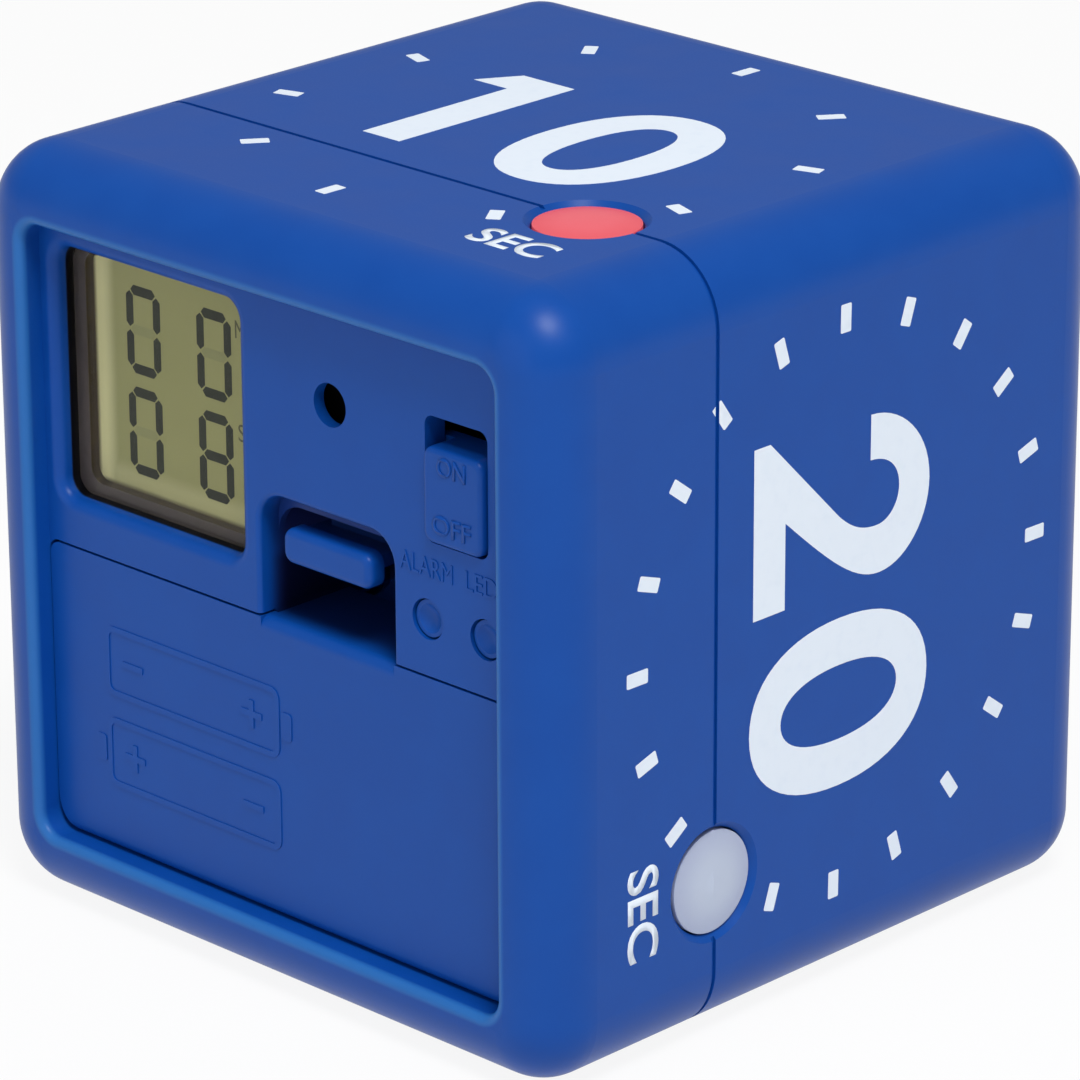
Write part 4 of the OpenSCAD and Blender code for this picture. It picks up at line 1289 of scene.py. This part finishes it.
@dataclass
class RaisedMarks(Assembly):
    """Moulded words and signs: on the knob, over the buttons and on the battery door."""

    panel: float = -28.0
    relief: float = 0.08
    word_h: float = 1.45
    knob_bold: float = 0.01
    knob: tuple[Word, ...] = (Word("ON", (19.1, 45.6), 2.8), Word("OFF", (19.1, 41.2), 3.8))
    buttons: tuple[Word, ...] = (Word("ALARM", (16.0, 37.5), 5.3), Word("LED", (21.5, 37.5), 3.1))
    cell_at: Point = (-9.0, 17.3)
    cell_step: float = 7.4
    cell_half: Point = (9.5, 2.8)
    cell_line: float = 0.45
    cell_corner: float = 0.9
    cell_inner_corner: float = 0.5
    cell_steps: int = 5
    tip_out: float = 0.75
    tip_half: Point = (0.55, 1.1)
    tip_corner: float = 0.3
    tip_steps: int = 4
    sign_inset: float = 3.0
    sign_half: float = 1.1
    sign_line: float = 0.25

    def words(self) -> None:
        """Raises ON and OFF on the switch knob, and the names of the two buttons on the panel."""
        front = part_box("switch_knob")[0].y / MM
        for name, words, level, bold, body in (
            ("switch_words", self.knob, front, self.knob_bold, "slider"),
            ("button_words", self.buttons, self.panel, 0.0, "case"),
        ):
            drawing = Drawing()
            for word in words:
                drawing.write(word.letters, word.at, (word.width, self.word_h), bold)
            piece = drawing.piece(name, Facing.FRONT, (0, level, 0), self.relief, self.finishes.shell)
            fasten(piece, body)

    def cell(self, marks: Drawing, z: float, side: int) -> None:
        """Draws one cell, with a plus and a minus sign at its ends.

        Args:
            marks: The door's drawing.
            z: The cell's height on the door.
            side: The way to its plus end: 1 right, -1 left.
        """
        x, line = self.cell_at[0], self.cell_line
        half, tall = self.cell_half
        outside = soft_bar(x - half, x + half, z - tall, z + tall, self.cell_corner)
        half_in, tall_in = half - line, tall - line
        inside = soft_bar(x - half_in, x + half_in, z - tall_in, z + tall_in, self.cell_inner_corner)
        marks.fill([outside, inside], steps=self.cell_steps)
        tip = x + side * (half + self.tip_out)
        wide, high = self.tip_half
        nub = soft_bar(tip - wide, tip + wide, z - high, z + high, self.tip_corner)
        marks.fill([nub], steps=self.tip_steps)
        arm, thin = self.sign_half, self.sign_line
        plus, minus = (x + way * side * (half - self.sign_inset) for way in (1, -1))
        marks.fill([bar(plus - arm, plus + arm, z - thin, z + thin)])
        marks.fill([bar(plus - thin, plus + thin, z + thin, z + arm)])
        marks.fill([bar(plus - thin, plus + thin, z - arm, z - thin)])
        marks.fill([bar(minus - arm, minus + arm, z - thin, z + thin)])

    def door_marks(self) -> None:
        """Raises the way the two cells lie on the battery door."""
        marks = Drawing()
        for side in (1, -1):
            self.cell(marks, self.cell_at[1] + side * self.cell_step / 2, side)
        place = (0, self.panel, 0)
        piece = marks.piece("door_cell_marks", Facing.FRONT, place, self.relief, self.finishes.shell)
        fasten(piece, "door")

    def build(self) -> None:
        """Raises all the moulded marks."""
        self.words()
        self.door_marks()


@dataclass
class Solids(Assembly):
    """The CAD nodes, which keep their shapes and get their finishes here."""

    nodes: Mapping[str, bpy.types.Object]
    door: Sequence[str] = ("battery_door", "door_latch")
    shell: Sequence[str] = ("rear_case", "switch_knob", "alarm_button", "led_button")
    white: Sequence[str] = ("lcd_frame", "tilt_cage", "tilt_lid", "alarm_plunger", "led_plunger")
    black: Sequence[str] = ("controller_blob", "smd_parts", "buzzer", "switch_lever", "tact_switches")
    boards: Sequence[str] = ("panel_board", "main_board")
    steel: Sequence[str] = (
        "crystal",
        "switch_can",
        "tilt_ball",
        "contact_bridge",
        "contact_plus",
        "contact_minus",
        "case_screws",
        "main_board_screws",
        "panel_board_screws",
    )

    def dress(self, names: Sequence[str], material: bpy.types.Material) -> None:
        """Gives nodes a finish.

        Args:
            names: The nodes.
            material: Their material.
        """
        for name in names:
            for slot in self.nodes[name].material_slots:
                slot.material = material
            LOG.info("%s is finished in %s", name, material.name)

    def lamps(self) -> None:
        """Finishes the lamp chips and the four lamp lenses, of which the upper one glows."""
        chip = LampMoulding("lamp_chip", (0.7, 0.66, 0.5), (0.6, 0.56, 0.42), Facing.TOP)
        self.dress(["led_chips"], chip.material())
        lit = LampMoulding(
            "lamp_lit",
            color=(0.56, 0.09, 0.11),
            rim=(0.54, 0.07, 0.09),
            face=Facing.TOP,
            glow=(0.72, 0.09, 0.12),
            glow_rim=(0.70, 0.075, 0.095),
            strength=0.42,
        )
        self.dress(["lamp_lens_top"], lit.material())
        for facing in (Facing.RIGHT, Facing.BOTTOM, Facing.LEFT):
            side = facing.name.lower()
            milky = LampMoulding(f"lamp_milky_{side}", (0.50, 0.56, 0.69), (0.42, 0.47, 0.63), facing)
            self.dress([f"lamp_lens_{side}"], milky.material())

    def cells(self) -> None:
        """Finishes the two dry cells, which lie opposite ways."""
        for name, side in (("cell_lower", 1), ("cell_upper", -1)):
            self.dress([name], CellSleeve(f"{name}_sleeve", side).material())

    def build(self) -> None:
        """Finishes every node."""
        for names, material in (
            (self.shell, self.finishes.shell),
            (["front_case"], self.finishes.front),
            (self.door, self.finishes.door),
            (["display_window"], self.finishes.window),
            (["display_gasket"], self.finishes.gasket),
            (["lcd_cell"], self.finishes.glass),
            (self.white, self.finishes.white),
            (self.black, self.finishes.black),
            (self.boards, self.finishes.board),
            (self.steel, self.finishes.steel),
            (["contact_springs"], self.finishes.spring),
            (["connector_strips"], self.finishes.rubber),
            (["link_pins"], self.finishes.brass),
        ):
            self.dress(names, material)
        self.lamps()
        self.cells()


@dataclass(frozen=True)
class Softbox:
    """A soft square lamp: its place and side in metres, and its power in watts."""

    name: str
    place: Triple
    side: float
    power: float


@dataclass
class Studio:
    """Camera, floor and soft light.

    Its angles are in degrees, and clip, floor_half and aim are in metres.
    """

    azimuth: float = 44.407
    elevation: float = 20.70
    roll: float = -0.27
    focal_px: float = 6020.0
    picture_px: float = 1080.0
    distance: float = 456.5
    shift: Point = (-0.115, -2.2)
    sensor: float = 36.0
    clip: Point = (0.01, 20.0)
    floor_half: float = 3.0
    floor_z: float = -0.03
    floor_color: Color = (0.88, 0.88, 0.88)
    floor_roughness: float = 0.9
    floor_specular: float = 0.1
    floor_white: float = 0.9
    sky: Color = (0.36, 0.367, 0.374)
    aim: Triple = (0.0, 0.0, 0.03)
    lamps: tuple[Softbox, ...] = (
        Softbox("key", (0.336, -0.204, 0.726), 0.25, 4.6),
        Softbox("front", (-0.1, -1.05, 0.25), 1.0, 2.2),
        Softbox("right", (1.0, 0.25, 0.3), 1.0, 0.25),
    )

    def camera(self) -> None:
        """Makes the camera at the photograph's angle."""
        a, e, r = (math.radians(angle) for angle in (self.azimuth, self.elevation, self.roll))
        back = Vector((math.sin(a) * math.cos(e), -math.cos(a) * math.cos(e), math.sin(e)))
        level = Vector((math.cos(a), math.sin(a), 0))
        rise = back.cross(level)
        right = math.cos(r) * level + math.sin(r) * rise
        up = -math.sin(r) * level + math.cos(r) * rise
        at = back * self.distance + right * self.shift[0] + up * self.shift[1] + Vector((0, 0, MIDDLE))
        data = bpy.data.cameras.new("camera")
        data.sensor_width = self.sensor
        data.lens = self.sensor * self.focal_px / self.picture_px
        data.clip_start, data.clip_end = self.clip
        made = bpy.data.objects.new("camera", data)
        made.matrix_world = Matrix.Translation(at * MM) @ Matrix((right, up, back)).transposed().to_4x4()
        bpy.context.scene.collection.objects.link(made)
        bpy.context.scene.camera = made

    def floor(self) -> None:
        """Lays the plain white floor, which keeps a soft shadow."""
        shape = bmesh.new()
        bmesh.ops.create_grid(shape, x_segments=1, y_segments=1, size=self.floor_half)
        bmesh.ops.translate(shape, verts=shape.verts, vec=(0, 0, self.floor_z * MM))
        made = NodeFinish("floor_white")
        made.surface(self.floor_color, self.floor_roughness, self.floor_specular)
        seen = made.node("ShaderNodeLightPath", output="Is Camera Ray")
        path = seen.socket.node.outputs
        for ray in ("Is Glossy Ray", "Is Transmission Ray"):
            seen = seen.larger(Wire(made, path[ray]))
        white = made.node("ShaderNodeEmission", {}, {"Color": (1.0, 1.0, 1.0), "Strength": 1.0})
        plain = Wire(made, made.shader.outputs[0])
        mixed = made.node("ShaderNodeMixShader", {}, {0: seen * self.floor_white, 1: plain, 2: white})
        made.feed(made.output.inputs["Surface"], mixed)
        finished("floor", shape, made.material)

    def lamp(self, box: Softbox) -> None:
        """Adds a lamp that points at the timer.

        Args:
            box: The lamp.
        """
        data = bpy.data.lights.new(box.name, "AREA")
        data.shape = "SQUARE"
        data.size = box.side
        data.energy = box.power
        made = bpy.data.objects.new(box.name, data)
        turn = (Vector(box.place) - Vector(self.aim)).to_track_quat("Z", "Y").to_matrix().to_4x4()
        made.matrix_world = Matrix.Translation(box.place) @ turn
        bpy.context.scene.collection.objects.link(made)

    def light(self) -> None:
        """Sets the soft sky and the lamps."""
        world = bpy.data.worlds.new("studio")
        world.use_nodes = True
        world.node_tree.nodes["Background"].inputs["Color"].default_value = (*self.sky, 1.0)
        bpy.context.scene.world = world
        for box in self.lamps:
            self.lamp(box)

    def build(self) -> None:
        """Builds camera, floor and light."""
        self.camera()
        self.floor()
        self.light()


def main() -> None:
    """Builds the whole scene."""
    logging.basicConfig(level=logging.INFO, format="%(message)s")
    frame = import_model()
    bpy.context.scene.view_settings.view_transform = "Standard"
    Studio().build()
    finishes = Finishes.mixed()
    Solids(finishes, frame["nodes"]).build()
    for kind in (Printing, DisplayFace, WindowBorder, RaisedMarks):
        kind(finishes).build()


if __name__ == "__main__":
    main()
